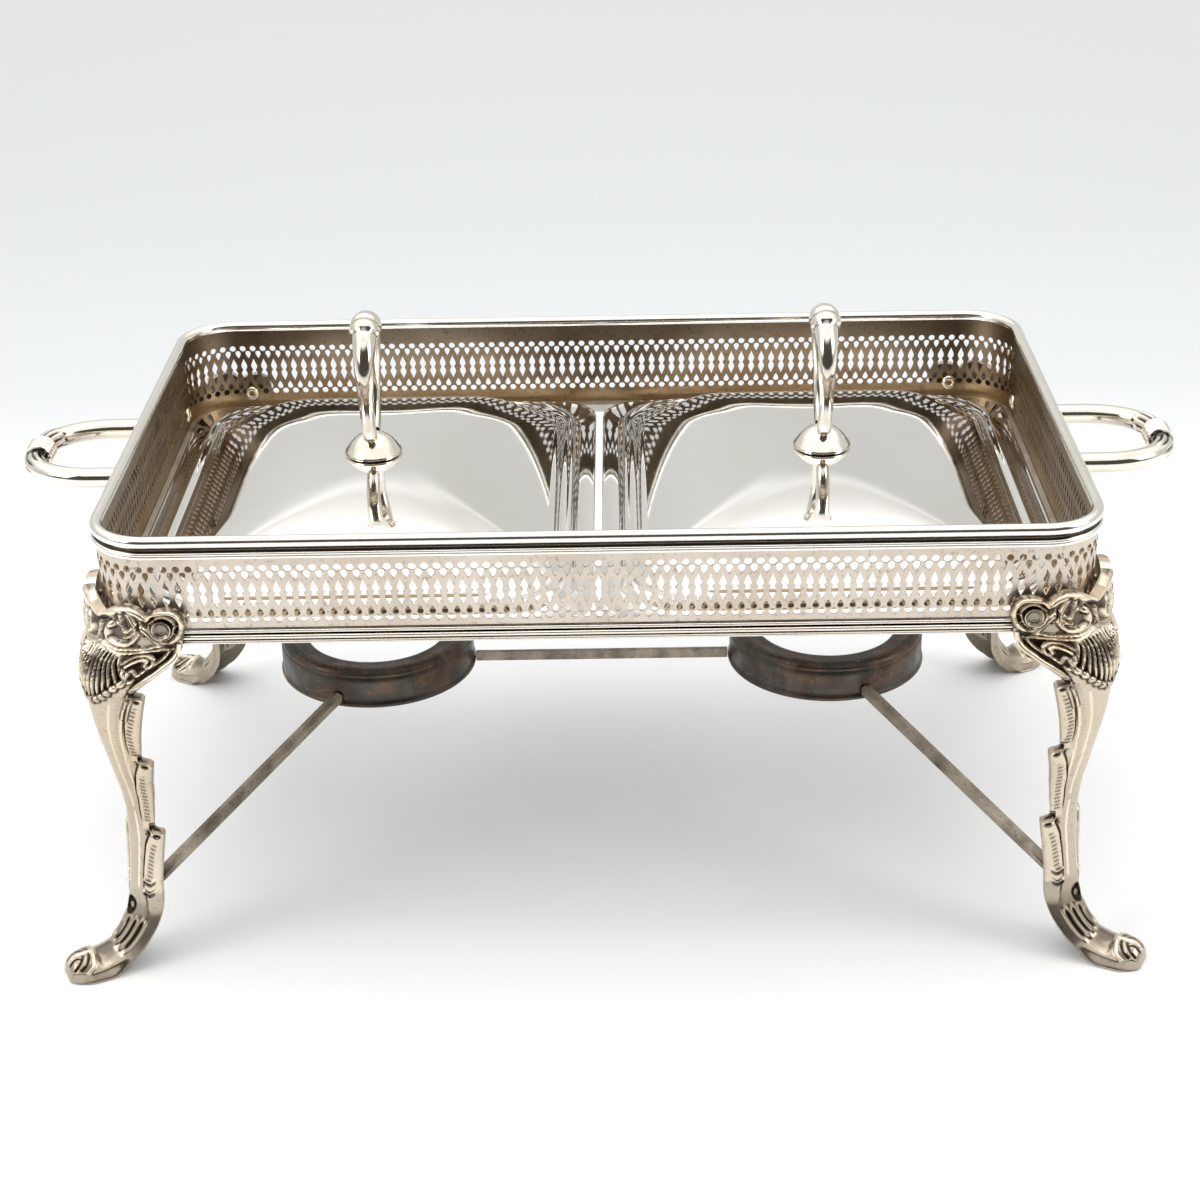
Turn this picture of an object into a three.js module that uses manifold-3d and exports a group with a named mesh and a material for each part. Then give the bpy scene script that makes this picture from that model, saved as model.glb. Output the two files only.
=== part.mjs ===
// Chafing dish stand: a footed, pierced frame that carries two covered dishes over two burners.
// Millimetres. +Z is up, X runs from handle to handle, the origin is on the floor at the centre.
import * as THREE from 'three';
import { mergeVertices } from 'three/addons/utils/BufferGeometryUtils.js';
import Module from 'manifold-3d';

const wasm = await Module();
wasm.setup();

// Frame sizes
const FRAME_LENGTH = 480;
const FRAME_DEPTH = 300;
const CORNER_RADIUS = 31;
const RIM_TOP = 236;
const RIM_BEAD = 6;
const SKIRT_DROP = 11;
const MOULDING_BOTTOM = 180.5;
const MOULDING_HEIGHT = 8;
const BAND_RECESS = 2;
const BAND_THICKNESS = 1.2;
const LEDGE_WIDTH = 7.7;
const LEDGE_TOP = 184;
const LEDGE_THICKNESS = 1.4;
const SEAT_GAP = 0.3;
const CORNER_STEPS = 4;

// Pierced openings in the band
const OPENING_PITCH = 5.8;
const OPENING_WIDTH = 3.8;
const OPENING_HEIGHT = 13.5;
const OPENING_CENTRE = 206.3;

// Lids
const LID_MIDDLE_GAP = 3.6;
const LID_END_GAP = 1.2;
const LID_SIDE_GAP = 2;
const LID_CORNER = 30;
const LID_CORNER_INSIDE = 45;
const LID_THICKNESS = 1.2;
const LID_CROWN = 215;
const CROWN_SOFTNESS = 0.36;
const CROWN_POWER_X = 3;
const CROWN_POWER_Y = 8;
const STUD_RADIUS = 3;
const STUD_HOLE = 3.5;
const BUTTON_RADIUS = 15;
const BUTTON_HEIGHT = 7;
const LOOP_HALF_WIDTH = 19;
const LOOP_HEIGHT = 62;

// Side handles
const HANDLE_STANDOFF = 52.5;
const HANDLE_HALF = 33;
const HANDLE_RADIUS = 5.5;
const HANDLE_LEVEL = 217;
const HANDLE_CORNER = 20;

// Rivets that hold the legs to the band
const RIVET_INSET = 5;
const RIVET_Z = 192;
const RIVET_RADIUS = 2;
const RIVET_HEAD = 4.4;

// Burner holder
const BURNER_X = 122;
const BURNER_RADIUS = 53;
const BURNER_HOLE = 37.5;
const BURNER_BOTTOM = 91;
const BURNER_HEIGHT = 21.5;
const BURNER_WALL = 1.5;
const STRUT_RADIUS = 3.4;
const STRUT_RING_Z = 95.5;
const STRUT_LEG_Z = 39;
const STRUT_SLIDE = 20;
const BAR_HEIGHT = 5;
const BAR_THICKNESS = 3;
const SCREW_Z = 33;
const SCREW_RADIUS = 1.6;

// Places worked out from the sizes above
const HALF_X = FRAME_LENGTH / 2;
const HALF_Y = FRAME_DEPTH / 2;
const CORNER_X = HALF_X - CORNER_RADIUS;
const CORNER_Y = HALF_Y - CORNER_RADIUS;
const BAND_OUTER = -BAND_RECESS;
const BAND_INNER = BAND_OUTER - BAND_THICKNESS;
const BAND_TOP = RIM_TOP - RIM_BEAD;
const LEDGE_BOTTOM = LEDGE_TOP - LEDGE_THICKNESS;
const BAND_BOTTOM = LEDGE_BOTTOM;
const LID_SEAT = LEDGE_TOP + SEAT_GAP;
const LID_HALF_X = (HALF_X - RIM_BEAD - LID_END_GAP - LID_MIDDLE_GAP / 2) / 2;
const LID_HALF_Y = HALF_Y - RIM_BEAD - LID_SIDE_GAP;
const LID_CENTRE_X = LID_MIDDLE_GAP / 2 + LID_HALF_X;
const HANDLE_REACH = HALF_X + HANDLE_STANDOFF;
const RIVET_X = CORNER_X - RIVET_INSET;
const RIVET_Y = CORNER_Y - RIVET_INSET;

// Materials, one for each mesh
const FINISHES = {
  silver: { color: 0xcfc6b6, roughness: 0.26, metalness: 1 },
  aged: { color: 0xb7a98f, roughness: 0.34, metalness: 1 },
  mirror: { color: 0xd6d2cb, roughness: 0.07, metalness: 1 },
  copper: { color: 0x5d463d, roughness: 0.42, metalness: 1 },
  dark: { color: 0x5f574e, roughness: 0.45, metalness: 1 },
};

const part = new THREE.Group();

function add(name, geometry, finish) {
  const mesh = new THREE.Mesh(geometry, new THREE.MeshStandardMaterial(FINISHES[finish]));
  mesh.name = name;
  part.add(mesh);
  return mesh;
}

// Turns a list of points and triangles into a closed geometry that faces outward.
function solid(points, triangles) {
  let volume = 0;
  for (const [a, b, c] of triangles) {
    volume += points[a].dot(new THREE.Vector3().crossVectors(points[b], points[c]));
  }
  const index = [];
  for (const [a, b, c] of triangles) {
    if (volume > 0) index.push(a, b, c);
    else index.push(a, c, b);
  }
  const geometry = new THREE.BufferGeometry().setFromPoints(points);
  geometry.setIndex(index);
  geometry.computeVertexNormals();
  return geometry;
}

// Joins rings of points of equal length. A wrapped loft closes on its first ring, another has caps.
function loft(rings, wrapped) {
  const count = rings[0].length;
  const points = rings.flat();
  const triangles = [];
  const last = wrapped ? rings.length : rings.length - 1;
  for (let i = 0; i < last; i += 1) {
    const here = i * count;
    const next = ((i + 1) % rings.length) * count;
    for (let j = 0; j < count; j += 1) {
      const k = (j + 1) % count;
      triangles.push([here + j, here + k, next + k]);
      triangles.push([here + j, next + k, next + j]);
    }
  }
  if (!wrapped) {
    const top = (rings.length - 1) * count;
    for (let j = 1; j < count - 1; j += 1) {
      triangles.push([0, j + 1, j]);
      triangles.push([top, top + j, top + j + 1]);
    }
  }
  return solid(points, triangles);
}

// One level ring of points round a rounded rectangle.
function roundedRing(halfX, halfY, radius, z, centreX = 0) {
  const ring = [];
  const corners = [[1, 1, 0], [-1, 1, 1], [-1, -1, 2], [1, -1, 3]];
  for (const [sx, sy, turn] of corners) {
    for (let i = 0; i <= CORNER_STEPS; i += 1) {
      const angle = (turn + i / CORNER_STEPS) * Math.PI / 2;
      const x = centreX + sx * (halfX - radius) + radius * Math.cos(angle);
      const y = sy * (halfY - radius) + radius * Math.sin(angle);
      ring.push(new THREE.Vector3(x, y, z));
    }
  }
  return ring;
}

// Sweeps a closed section of [offset, height] pairs round the frame.
function frameSweep(section) {
  const rings = section.map(([offset, z]) => (
    roundedRing(HALF_X + offset, HALF_Y + offset, CORNER_RADIUS + offset, z)
  ));
  return loft(rings, true);
}

// Solid of revolution about Z from [radius, height] pairs.
function lathe(profile, segments) {
  const points = profile.map(([r, z]) => new THREE.Vector2(r, z));
  return new THREE.LatheGeometry(points, segments).rotateX(Math.PI / 2);
}

// Round bar along a flat path, with its own radius at each point.
function bar(path, radii, planeNormal, sides) {
  const rings = path.map((point, i) => {
    const before = path[Math.max(i - 1, 0)];
    const after = path[Math.min(i + 1, path.length - 1)];
    const along = after.clone().sub(before).normalize();
    const across = new THREE.Vector3().crossVectors(along, planeNormal).normalize();
    return Array.from({ length: sides }, (unused, j) => {
      const angle = (j + 0.5) / sides * 2 * Math.PI;
      return point.clone()
        .addScaledVector(across, radii[i] * Math.cos(angle))
        .addScaledVector(planeNormal, radii[i] * Math.sin(angle));
    });
  });
  return loft(rings, false);
}

function toManifold(geometry) {
  const bare = new THREE.BufferGeometry();
  bare.setAttribute('position', geometry.getAttribute('position').clone());
  if (geometry.index) bare.setIndex(geometry.index.clone());
  const merged = mergeVertices(bare, 1e-4);
  return new wasm.Manifold(new wasm.Mesh({
    numProp: 3,
    vertProperties: new Float32Array(merged.getAttribute('position').array),
    triVerts: new Uint32Array(merged.index.array),
  }));
}

function fromManifold(manifold) {
  const mesh = manifold.getMesh();
  const geometry = new THREE.BufferGeometry();
  geometry.setAttribute('position', new THREE.BufferAttribute(new Float32Array(mesh.vertProperties), 3));
  geometry.setIndex(new THREE.BufferAttribute(new Uint32Array(mesh.triVerts), 1));
  geometry.computeVertexNormals();
  return geometry;
}

function cut(geometry, cutters) {
  let body = toManifold(geometry);
  for (const cutter of cutters) body = body.subtract(toManifold(cutter));
  return fromManifold(body);
}

// Places a shape made along +Z so that it points along a direction from a point.
function aim(geometry, origin, direction) {
  const turn = new THREE.Quaternion().setFromUnitVectors(new THREE.Vector3(0, 0, 1), direction);
  return geometry.applyQuaternion(turn).translate(origin.x, origin.y, origin.z);
}

// Top rim: a rolled bead, a groove and a thin second bead whose skirt covers the band's top edge.
const skirtOuter = BAND_OUTER + 1.2;
const skirtInner = BAND_OUTER + SEAT_GAP;
const skirtBottom = RIM_TOP - SKIRT_DROP;
const beadRadius = RIM_BEAD / 2;
const beadAngles = [-45, 0, 45, 90, 135, 180, 225];
const beadPoints = beadAngles.map((degrees) => {
  const angle = degrees * Math.PI / 180;
  return [-beadRadius + beadRadius * Math.cos(angle), RIM_TOP - beadRadius + beadRadius * Math.sin(angle)];
});
add('top_rim', frameSweep([
  [skirtInner, skirtBottom],
  [skirtOuter, skirtBottom],
  [skirtOuter + 0.4, skirtBottom + 1.2],
  [skirtOuter, skirtBottom + 2.4],
  [skirtInner + 0.4, skirtBottom + 3.4],
  ...beadPoints,
  [BAND_INNER - SEAT_GAP, BAND_TOP + SEAT_GAP],
  [skirtInner, BAND_TOP + SEAT_GAP],
]), 'silver');

// Bottom moulding: a stepped strip outside the band, with a foot turned in under it.
const mouldingTop = MOULDING_BOTTOM + MOULDING_HEIGHT;
add('bottom_moulding', frameSweep([
  [-0.8, MOULDING_BOTTOM],
  [0, MOULDING_BOTTOM + 1],
  [0, mouldingTop - 3],
  [-0.6, mouldingTop - 2],
  [-0.6, mouldingTop],
  [skirtInner, mouldingTop],
  [skirtInner, LEDGE_BOTTOM - SEAT_GAP],
  [-5, LEDGE_BOTTOM - SEAT_GAP],
  [-5, MOULDING_BOTTOM],
]), 'silver');

// Dish ledge: an inner shelf with a turned-down lip.
const ledgeOuter = BAND_INNER - SEAT_GAP;
const ledgeInner = ledgeOuter - LEDGE_WIDTH;
add('dish_ledge', frameSweep([
  [ledgeOuter, LEDGE_TOP],
  [ledgeInner, LEDGE_TOP],
  [ledgeInner, LEDGE_TOP - 4],
  [ledgeInner + 1.2, LEDGE_TOP - 4],
  [ledgeInner + 1.2, LEDGE_BOTTOM],
  [ledgeOuter, LEDGE_BOTTOM],
]), 'aged');

// Pierced band. A flat side is an upright plate with a row of tall pointed openings.
function lozenge(x, z) {
  const hole = new THREE.Path();
  hole.moveTo(x, z - OPENING_HEIGHT / 2);
  hole.lineTo(x + OPENING_WIDTH / 2, z);
  hole.lineTo(x, z + OPENING_HEIGHT / 2);
  hole.lineTo(x - OPENING_WIDTH / 2, z);
  hole.closePath();
  return hole;
}

function roundHole(x, z, radius) {
  const hole = new THREE.Path();
  hole.absarc(x, z, radius, 0, 2 * Math.PI, true);
  return hole;
}

function bandSide(halfLength, rivetAt) {
  const shape = new THREE.Shape();
  shape.moveTo(-halfLength, BAND_BOTTOM);
  shape.lineTo(halfLength, BAND_BOTTOM);
  shape.lineTo(halfLength, BAND_TOP);
  shape.lineTo(-halfLength, BAND_TOP);
  shape.closePath();
  const count = Math.floor((2 * halfLength - OPENING_WIDTH) / OPENING_PITCH);
  for (let i = 0; i < count; i += 1) {
    shape.holes.push(lozenge((i - (count - 1) / 2) * OPENING_PITCH, OPENING_CENTRE));
  }
  for (const side of [-1, 1]) {
    shape.holes.push(roundHole(side * rivetAt, RIVET_Z, RIVET_RADIUS + SEAT_GAP));
  }
  const options = { depth: BAND_THICKNESS, bevelEnabled: false, curveSegments: 4 };
  return new THREE.ExtrudeGeometry(shape, options).rotateX(Math.PI / 2);
}

// The corners of the band stand a hair off the flat sides.
const bandGap = 0.02;
const bandHalfX = CORNER_X - bandGap;
const bandHalfY = CORNER_Y - bandGap;
const bandX = HALF_X + BAND_INNER;
const bandY = HALF_Y + BAND_INNER;
add('band_back', bandSide(bandHalfX, RIVET_X).translate(0, bandY + BAND_THICKNESS, 0), 'silver');
add('band_front', bandSide(bandHalfX, RIVET_X).translate(0, -bandY, 0), 'silver');
const quarter = Math.PI / 2;
add('band_left', bandSide(bandHalfY, RIVET_Y).rotateZ(quarter).translate(-bandX - BAND_THICKNESS, 0, 0), 'silver');
add('band_right', bandSide(bandHalfY, RIVET_Y).rotateZ(quarter).translate(bandX, 0, 0), 'silver');

// A corner of the band is a quarter ring with upright openings cut through it.
function bandCorner(turn) {
  const outer = CORNER_RADIUS + BAND_OUTER;
  const inner = CORNER_RADIUS + BAND_INNER;
  const steps = CORNER_STEPS;
  const rings = [];
  for (let i = 0; i <= steps; i += 1) {
    const angle = (turn + i / steps) * quarter;
    const at = (radius, z) => new THREE.Vector3(radius * Math.cos(angle), radius * Math.sin(angle), z);
    rings.push([at(inner, BAND_BOTTOM), at(outer, BAND_BOTTOM), at(outer, BAND_TOP), at(inner, BAND_TOP)]);
  }
  const cutters = [];
  const count = 7;
  for (let i = 0; i < count; i += 1) {
    const angle = (turn + (i + 0.5) / count) * quarter;
    const radius = (outer + inner) / 2;
    const cutter = new THREE.CylinderGeometry(1, 1, 8, 4).rotateY(Math.PI / 4).rotateZ(quarter);
    cutter.rotateX(Math.PI / 4).scale(1, OPENING_WIDTH / 2, OPENING_HEIGHT / 2).rotateZ(angle);
    cutter.translate(radius * Math.cos(angle), radius * Math.sin(angle), OPENING_CENTRE);
    cutters.push(cutter);
  }
  return cut(loft(rings, false), cutters);
}

const CORNERS = [
  { name: 'back_right', sx: 1, sy: 1, turn: 0 },
  { name: 'back_left', sx: -1, sy: 1, turn: 1 },
  { name: 'front_left', sx: -1, sy: -1, turn: 2 },
  { name: 'front_right', sx: 1, sy: -1, turn: 3 },
];

for (const { name, sx, sy, turn } of CORNERS) {
  add(`band_corner_${name}`, bandCorner(turn).translate(sx * CORNER_X, sy * CORNER_Y, 0), 'silver');
}

// Cabriole leg. Each station gives the place of the outer edge line, out from the frame's corner
// line and up from the floor, then the section there: nose radius, half angle, length of the
// straight wing beyond the nose, thickness and lean of the section. On the foot, turn is the share
// of the foot's turn toward the long axis, and pad the level of its sole.
const LEG_STATIONS = [
  { out: 4.8, up: 199, nose: 35.8, angle: 45, wing: 14, thick: 4.4, lean: 0 },
  { out: 6, up: 190, nose: 37, angle: 45, wing: 20, thick: 5.6, lean: 0 },
  { out: 6, up: 181, nose: 37, angle: 45, wing: 20, thick: 5.6, lean: 0 },
  { out: 12, up: 174, nose: 30, angle: 45, wing: 23, thick: 6, lean: 0 },
  { out: 16.2, up: 165, nose: 22, angle: 45, wing: 20, thick: 6, lean: 0 },
  { out: 15.4, up: 153, nose: 15, angle: 45, wing: 15, thick: 5, lean: 0 },
  { out: 13.3, up: 136, nose: 12, angle: 45, wing: 14, thick: 4.5, lean: 0 },
  { out: 8.2, up: 113, nose: 10, angle: 45, wing: 12, thick: 4.5, lean: 0 },
  { out: 3.4, up: 91, nose: 9, angle: 45, wing: 9, thick: 4.2, lean: 0 },
  { out: 3.2, up: 69, nose: 9, angle: 45, wing: 9, thick: 4.2, lean: 0 },
  { out: 5.3, up: 49, nose: 9, angle: 45, wing: 9, thick: 4.2, lean: 4 },
  { out: 8.4, up: 35, nose: 9, angle: 45, wing: 9, thick: 4.2, lean: 12 },
  { out: 12.6, up: 24.5, nose: 9, angle: 45, wing: 10, thick: 4.2, lean: 28, turn: 0.6 },
  { out: 19, up: 16, nose: 10, angle: 42, wing: 9, thick: 4.6, lean: 50, turn: 1 },
  { out: 27, up: 12, nose: 12, angle: 40, wing: 7, thick: 5, lean: 72, turn: 1, pad: 0 },
  { out: 35, up: 11, nose: 13, angle: 42, wing: 6, thick: 5.5, lean: 84, turn: 1, pad: 0 },
  { out: 41, up: 10.5, nose: 12, angle: 40, wing: 3, thick: 5.5, lean: 88, turn: 1, pad: 0 },
  { out: 44, up: 7, nose: 9, angle: 38, wing: 1.5, thick: 4, lean: 90, turn: 1, pad: 0 },
];
const FOOT_TURN = 18;
const FOOT_PIVOT = 5.3;
const NOSE_STEPS = 4;

// A point on a leg, from its distance out along the corner's diagonal, across it, and up.
function legPoint(sx, sy, out, across, up) {
  const reach = CORNER_RADIUS + out;
  const x = sx * (CORNER_X + (reach - across) * Math.SQRT1_2);
  const y = sy * (CORNER_Y + (reach + across) * Math.SQRT1_2);
  return new THREE.Vector3(x, y, up);
}

function legSection(station, sx, sy) {
  const { out, up, nose, angle, wing, thick, lean, turn = 0, pad } = station;
  const half = angle * Math.PI / 180;
  const tilt = lean * Math.PI / 180;
  const swing = turn * FOOT_TURN * Math.PI / 180;
  const place = (across, depth) => {
    const along = out - depth * Math.cos(tilt) - FOOT_PIVOT;
    const turnedOut = FOOT_PIVOT + along * Math.cos(swing) + across * Math.sin(swing);
    const turnedAcross = across * Math.cos(swing) - along * Math.sin(swing);
    return legPoint(sx, sy, turnedOut, turnedAcross, up - depth * Math.sin(tilt));
  };
  const outer = [];
  const inner = [];
  const turns = [-half];
  for (let i = 0; i <= NOSE_STEPS; i += 1) turns.push(-half + 2 * half * i / NOSE_STEPS);
  turns.push(half);
  turns.forEach((bend, i) => {
    const end = i === 0 ? -1 : i === turns.length - 1 ? 1 : 0;
    const along = end * wing;
    const across = nose * Math.sin(bend) + along * Math.cos(half);
    const depth = nose * (1 - Math.cos(bend)) + Math.abs(along) * Math.sin(half);
    outer.push(place(across, depth));
    const back = place(across - thick * Math.sin(bend), depth + thick * Math.cos(bend));
    if (pad !== undefined) back.z = pad;
    inner.push(back);
  });
  return outer.concat(inner.reverse());
}

function legBody(sx, sy) {
  const rings = LEG_STATIONS.map((station) => legSection(station, sx, sy));
  const count = rings[0].length;
  const points = rings.flat();
  const triangles = [];
  for (let i = 0; i < rings.length - 1; i += 1) {
    for (let j = 0; j < count; j += 1) {
      const k = (j + 1) % count;
      triangles.push([i * count + j, i * count + k, (i + 1) * count + k]);
      triangles.push([i * count + j, (i + 1) * count + k, (i + 1) * count + j]);
    }
  }
  const top = (rings.length - 1) * count;
  for (let j = 0; j < count / 2 - 1; j += 1) {
    const back = count - 1 - j;
    triangles.push([j, back, back - 1]);
    triangles.push([j, back - 1, j + 1]);
    triangles.push([top + j, top + back - 1, top + back]);
    triangles.push([top + j, top + j + 1, top + back - 1]);
  }
  return solid(points, triangles);
}

// The leg's outer edge line and lean at a height, read between two stations.
function legAt(up) {
  const i = LEG_STATIONS.findIndex((station) => station.up <= up);
  const above = LEG_STATIONS[i - 1];
  const below = LEG_STATIONS[i];
  const t = (above.up - up) / (above.up - below.up);
  return {
    out: above.out + (below.out - above.out) * t,
    lean: (above.lean + (below.lean - above.lean) * t) * Math.PI / 180,
  };
}

const screwAt = legAt(SCREW_Z);
const plateDepth = 7.8;
const plateThick = 2;

function screwFrame(sx, sy) {
  const origin = legPoint(sx, sy, screwAt.out, 0, SCREW_Z);
  const inward = new THREE.Vector3(-sx * Math.SQRT1_2, -sy * Math.SQRT1_2, 0);
  inward.multiplyScalar(Math.cos(screwAt.lean)).add(new THREE.Vector3(0, 0, -Math.sin(screwAt.lean)));
  return { origin, inward };
}

for (const { name, sx, sy } of CORNERS) {
  const { origin, inward } = screwFrame(sx, sy);
  const holes = [
    new THREE.CylinderGeometry(RIVET_RADIUS + SEAT_GAP, RIVET_RADIUS + SEAT_GAP, 30, 8)
      .translate(sx * RIVET_X, sy * HALF_Y, RIVET_Z),
    new THREE.CylinderGeometry(RIVET_RADIUS + SEAT_GAP, RIVET_RADIUS + SEAT_GAP, 30, 8)
      .rotateZ(quarter).translate(sx * HALF_X, sy * RIVET_Y, RIVET_Z),
    aim(new THREE.CylinderGeometry(SCREW_RADIUS + SEAT_GAP, SCREW_RADIUS + SEAT_GAP, 30, 8)
      .rotateX(quarter), origin, inward),
  ];
  add(`leg_${name}`, cut(legBody(sx, sy), holes), 'silver');
}

// Rivets: a domed head outside the leg, a shank through leg and band, and a rolled eyelet inside.
const legFace = LEG_STATIONS[1].out;
function rivet() {
  return lathe([
    [0, BAND_INNER],
    [1.3, BAND_INNER],
    [1.3, BAND_INNER - 1.8],
    [RIVET_HEAD - 0.6, BAND_INNER - 1.8],
    [RIVET_HEAD - 0.2, BAND_INNER - SEAT_GAP],
    [RIVET_RADIUS, BAND_INNER - SEAT_GAP],
    [RIVET_RADIUS, legFace + SEAT_GAP],
    [RIVET_HEAD, legFace + SEAT_GAP],
    [RIVET_HEAD - 1.2, legFace + 1.8],
    [0, legFace + 2.4],
  ], 8);
}

for (const { name, sx, sy } of CORNERS) {
  const long = new THREE.Vector3(sx * RIVET_X, sy * HALF_Y, RIVET_Z);
  const short = new THREE.Vector3(sx * HALF_X, sy * RIVET_Y, RIVET_Z);
  add(`rivet_long_${name}`, aim(rivet(), long, new THREE.Vector3(0, sy, 0)), 'silver');
  add(`rivet_short_${name}`, aim(rivet(), short, new THREE.Vector3(sx, 0, 0)), 'silver');
}

// Side handles: level loops with a ribbed collar in the middle.
function sideHandle(side) {
  const start = HALF_X + BAND_OUTER + SEAT_GAP;
  const bend = HANDLE_REACH - HANDLE_CORNER;
  const path = [];
  const radii = [];
  const push = (x, y, radius) => {
    path.push(new THREE.Vector3(side * x, y, HANDLE_LEVEL));
    radii.push(radius);
  };
  push(start, -HANDLE_HALF, HANDLE_RADIUS + 1);
  push(start + 4, -HANDLE_HALF, HANDLE_RADIUS);
  for (let i = 0; i <= 4; i += 1) {
    const angle = (i / 4 - 1) * quarter;
    const y = -HANDLE_HALF + HANDLE_CORNER + HANDLE_CORNER * Math.sin(angle);
    push(bend + HANDLE_CORNER * Math.cos(angle), y, HANDLE_RADIUS + i * 0.15);
  }
  for (const [y, grow] of [[-8, 0.9], [-6, 2], [-4, 1.2], [-2, 2], [0, 1.2]]) {
    push(HANDLE_REACH, y, HANDLE_RADIUS + grow);
  }
  const half = path.length - 1;
  for (let i = half - 1; i >= 0; i -= 1) {
    path.push(new THREE.Vector3(path[i].x, -path[i].y, HANDLE_LEVEL));
    radii.push(radii[i]);
  }
  return bar(path, radii, new THREE.Vector3(0, 0, 1), 8);
}
add('handle_left', sideHandle(-1), 'silver');
add('handle_right', sideHandle(1), 'silver');

// Lid: a thin shell with a flat flange, two stepped ridges and a broad convex crown.
// Each entry is the distance in from the flange's edge and the height above the seat.
const LID_STEPS = [[0, 1.4], [10, 1.8], [12, 6], [14.5, 7], [18.5, 6], [20.5, 8], [23, 9.2]];
const CROWN_SHARES = [0.04, 0.1, 0.24, 0.42, 0.64, 0.85];

function lidRing(centreX, inset, z) {
  const radius = Math.min(LID_CORNER * 0.8 + inset * 0.6, LID_CORNER_INSIDE);
  return roundedRing(LID_HALF_X - inset, LID_HALF_Y - inset, Math.max(radius, LID_CORNER * 0.87), z, centreX);
}

// The crown's fall from its middle, as a share of the whole fall, at a point given in shares of
// the crown's half length and half width. It is flat across the middle and square near its foot.
function crownFall(u, v) {
  const alongX = (1 - CROWN_SOFTNESS) * u ** CROWN_POWER_X + CROWN_SOFTNESS * u ** 2;
  const alongY = (1 - CROWN_SOFTNESS) * v ** CROWN_POWER_Y + CROWN_SOFTNESS * v ** 2;
  const squareness = 0.9 + 5.1 * Math.max(alongX, alongY);
  return (alongX ** squareness + alongY ** squareness) ** (1 / squareness);
}

function lidShell(centreX) {
  const outer = LID_STEPS.map(([inset, rise]) => lidRing(centreX, inset, LID_SEAT + rise));
  const base = LID_STEPS[LID_STEPS.length - 1];
  const baseHalf = [LID_HALF_X - base[0], LID_HALF_Y - base[0]];
  const crown = LID_CROWN - LID_SEAT - base[1];
  const foot = outer[outer.length - 1];
  for (const share of CROWN_SHARES) {
    const left = 1 - share;
    outer.push(foot.map((point) => {
      const u = Math.abs(point.x - centreX) / baseHalf[0];
      const v = Math.abs(point.y) / baseHalf[1];
      const footFall = 1 - left ** 4 + left ** 4 / crownFall(u, v);
      const z = LID_CROWN - crown * crownFall(u * left, v * left) * footFall;
      return new THREE.Vector3(centreX + (point.x - centreX) * left, point.y * left, z);
    }));
  }
  outer.push(roundedRing(STUD_HOLE, STUD_HOLE, STUD_HOLE * 0.75, LID_CROWN, centreX));
  const inner = outer.map((ring, i) => ring.map((point) => {
    const pulled = point.clone();
    const shift = i > 1 && i < LID_STEPS.length ? 1.2 : 0;
    const toward = new THREE.Vector3(centreX - point.x, -point.y, 0).normalize();
    pulled.addScaledVector(toward, shift);
    pulled.z = Math.max(point.z - LID_THICKNESS, LID_SEAT);
    return pulled;
  }));
  inner[0].forEach((point) => {
    point.z = LID_SEAT;
  });
  return loft(outer.concat(inner.reverse()), true);
}

// Button: a low dome under the loop, with the stud that passes through the lid.
const washerThick = 1;
const nutThick = 4;
const lidInside = LID_CROWN - LID_THICKNESS;
const washerTop = lidInside - SEAT_GAP;
const nutTop = washerTop - washerThick - SEAT_GAP;
const nutBottom = nutTop - nutThick;
const buttonBase = LID_CROWN + SEAT_GAP;
const buttonTop = buttonBase + BUTTON_HEIGHT;

function button() {
  return lathe([
    [0, nutBottom - 1.5],
    [STUD_RADIUS, nutBottom - 1.5],
    [STUD_RADIUS, buttonBase],
    [BUTTON_RADIUS - 0.8, buttonBase],
    [BUTTON_RADIUS, buttonBase + 1],
    [BUTTON_RADIUS - 1.6, buttonBase + 3.2],
    [BUTTON_RADIUS - 5, buttonBase + 5.4],
    [BUTTON_RADIUS - 7.5, buttonTop],
    [0, buttonTop],
  ], 16);
}

// Loop: an upright oval ring that rises from the button and carries a ribbed collar at its top.
function lidLoop(centreX) {
  const foot = buttonTop + SEAT_GAP;
  const middle = foot + LOOP_HEIGHT / 2 + 1;
  const halfHeight = LOOP_HEIGHT / 2;
  const path = [];
  const radii = [];
  const push = (y, z, radius) => {
    path.push(new THREE.Vector3(centreX, y, z));
    radii.push(radius);
  };
  push(-4.6, foot, 4);
  push(-4.6, foot + 1.2, 3.9);
  push(-6.4, foot + 3.6, 3.7);
  for (const degrees of [-62, -42, -20, 0, 20, 40, 56, 66]) {
    const angle = degrees * Math.PI / 180;
    const grow = 3.8 + 2 * (degrees + 62) / 128;
    push(-LOOP_HALF_WIDTH * Math.cos(angle), middle + halfHeight * Math.sin(angle), grow);
  }
  for (const [degrees, radius] of [[70, 7.4], [75, 6.4], [80, 7.4], [85, 6.4], [90, 7.4]]) {
    const angle = degrees * Math.PI / 180;
    push(-LOOP_HALF_WIDTH * Math.cos(angle), middle + halfHeight * Math.sin(angle), radius);
  }
  const half = path.length - 1;
  for (let i = half - 1; i >= 0; i -= 1) {
    path.push(new THREE.Vector3(centreX, -path[i].y, path[i].z));
    radii.push(radii[i]);
  }
  return bar(path, radii, new THREE.Vector3(1, 0, 0), 8);
}

function washer() {
  return lathe([
    [STUD_RADIUS + 0.4, washerTop - washerThick],
    [9, washerTop - washerThick],
    [9, washerTop],
    [STUD_RADIUS + 0.4, washerTop],
    [STUD_RADIUS + 0.4, washerTop - washerThick],
  ], 12);
}

function nut() {
  const bore = (STUD_RADIUS + 0.2) / Math.cos(Math.PI / 6);
  return lathe([
    [bore, nutBottom],
    [6.4, nutBottom],
    [6.4, nutTop],
    [bore, nutTop],
    [bore, nutBottom],
  ], 6);
}

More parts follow.
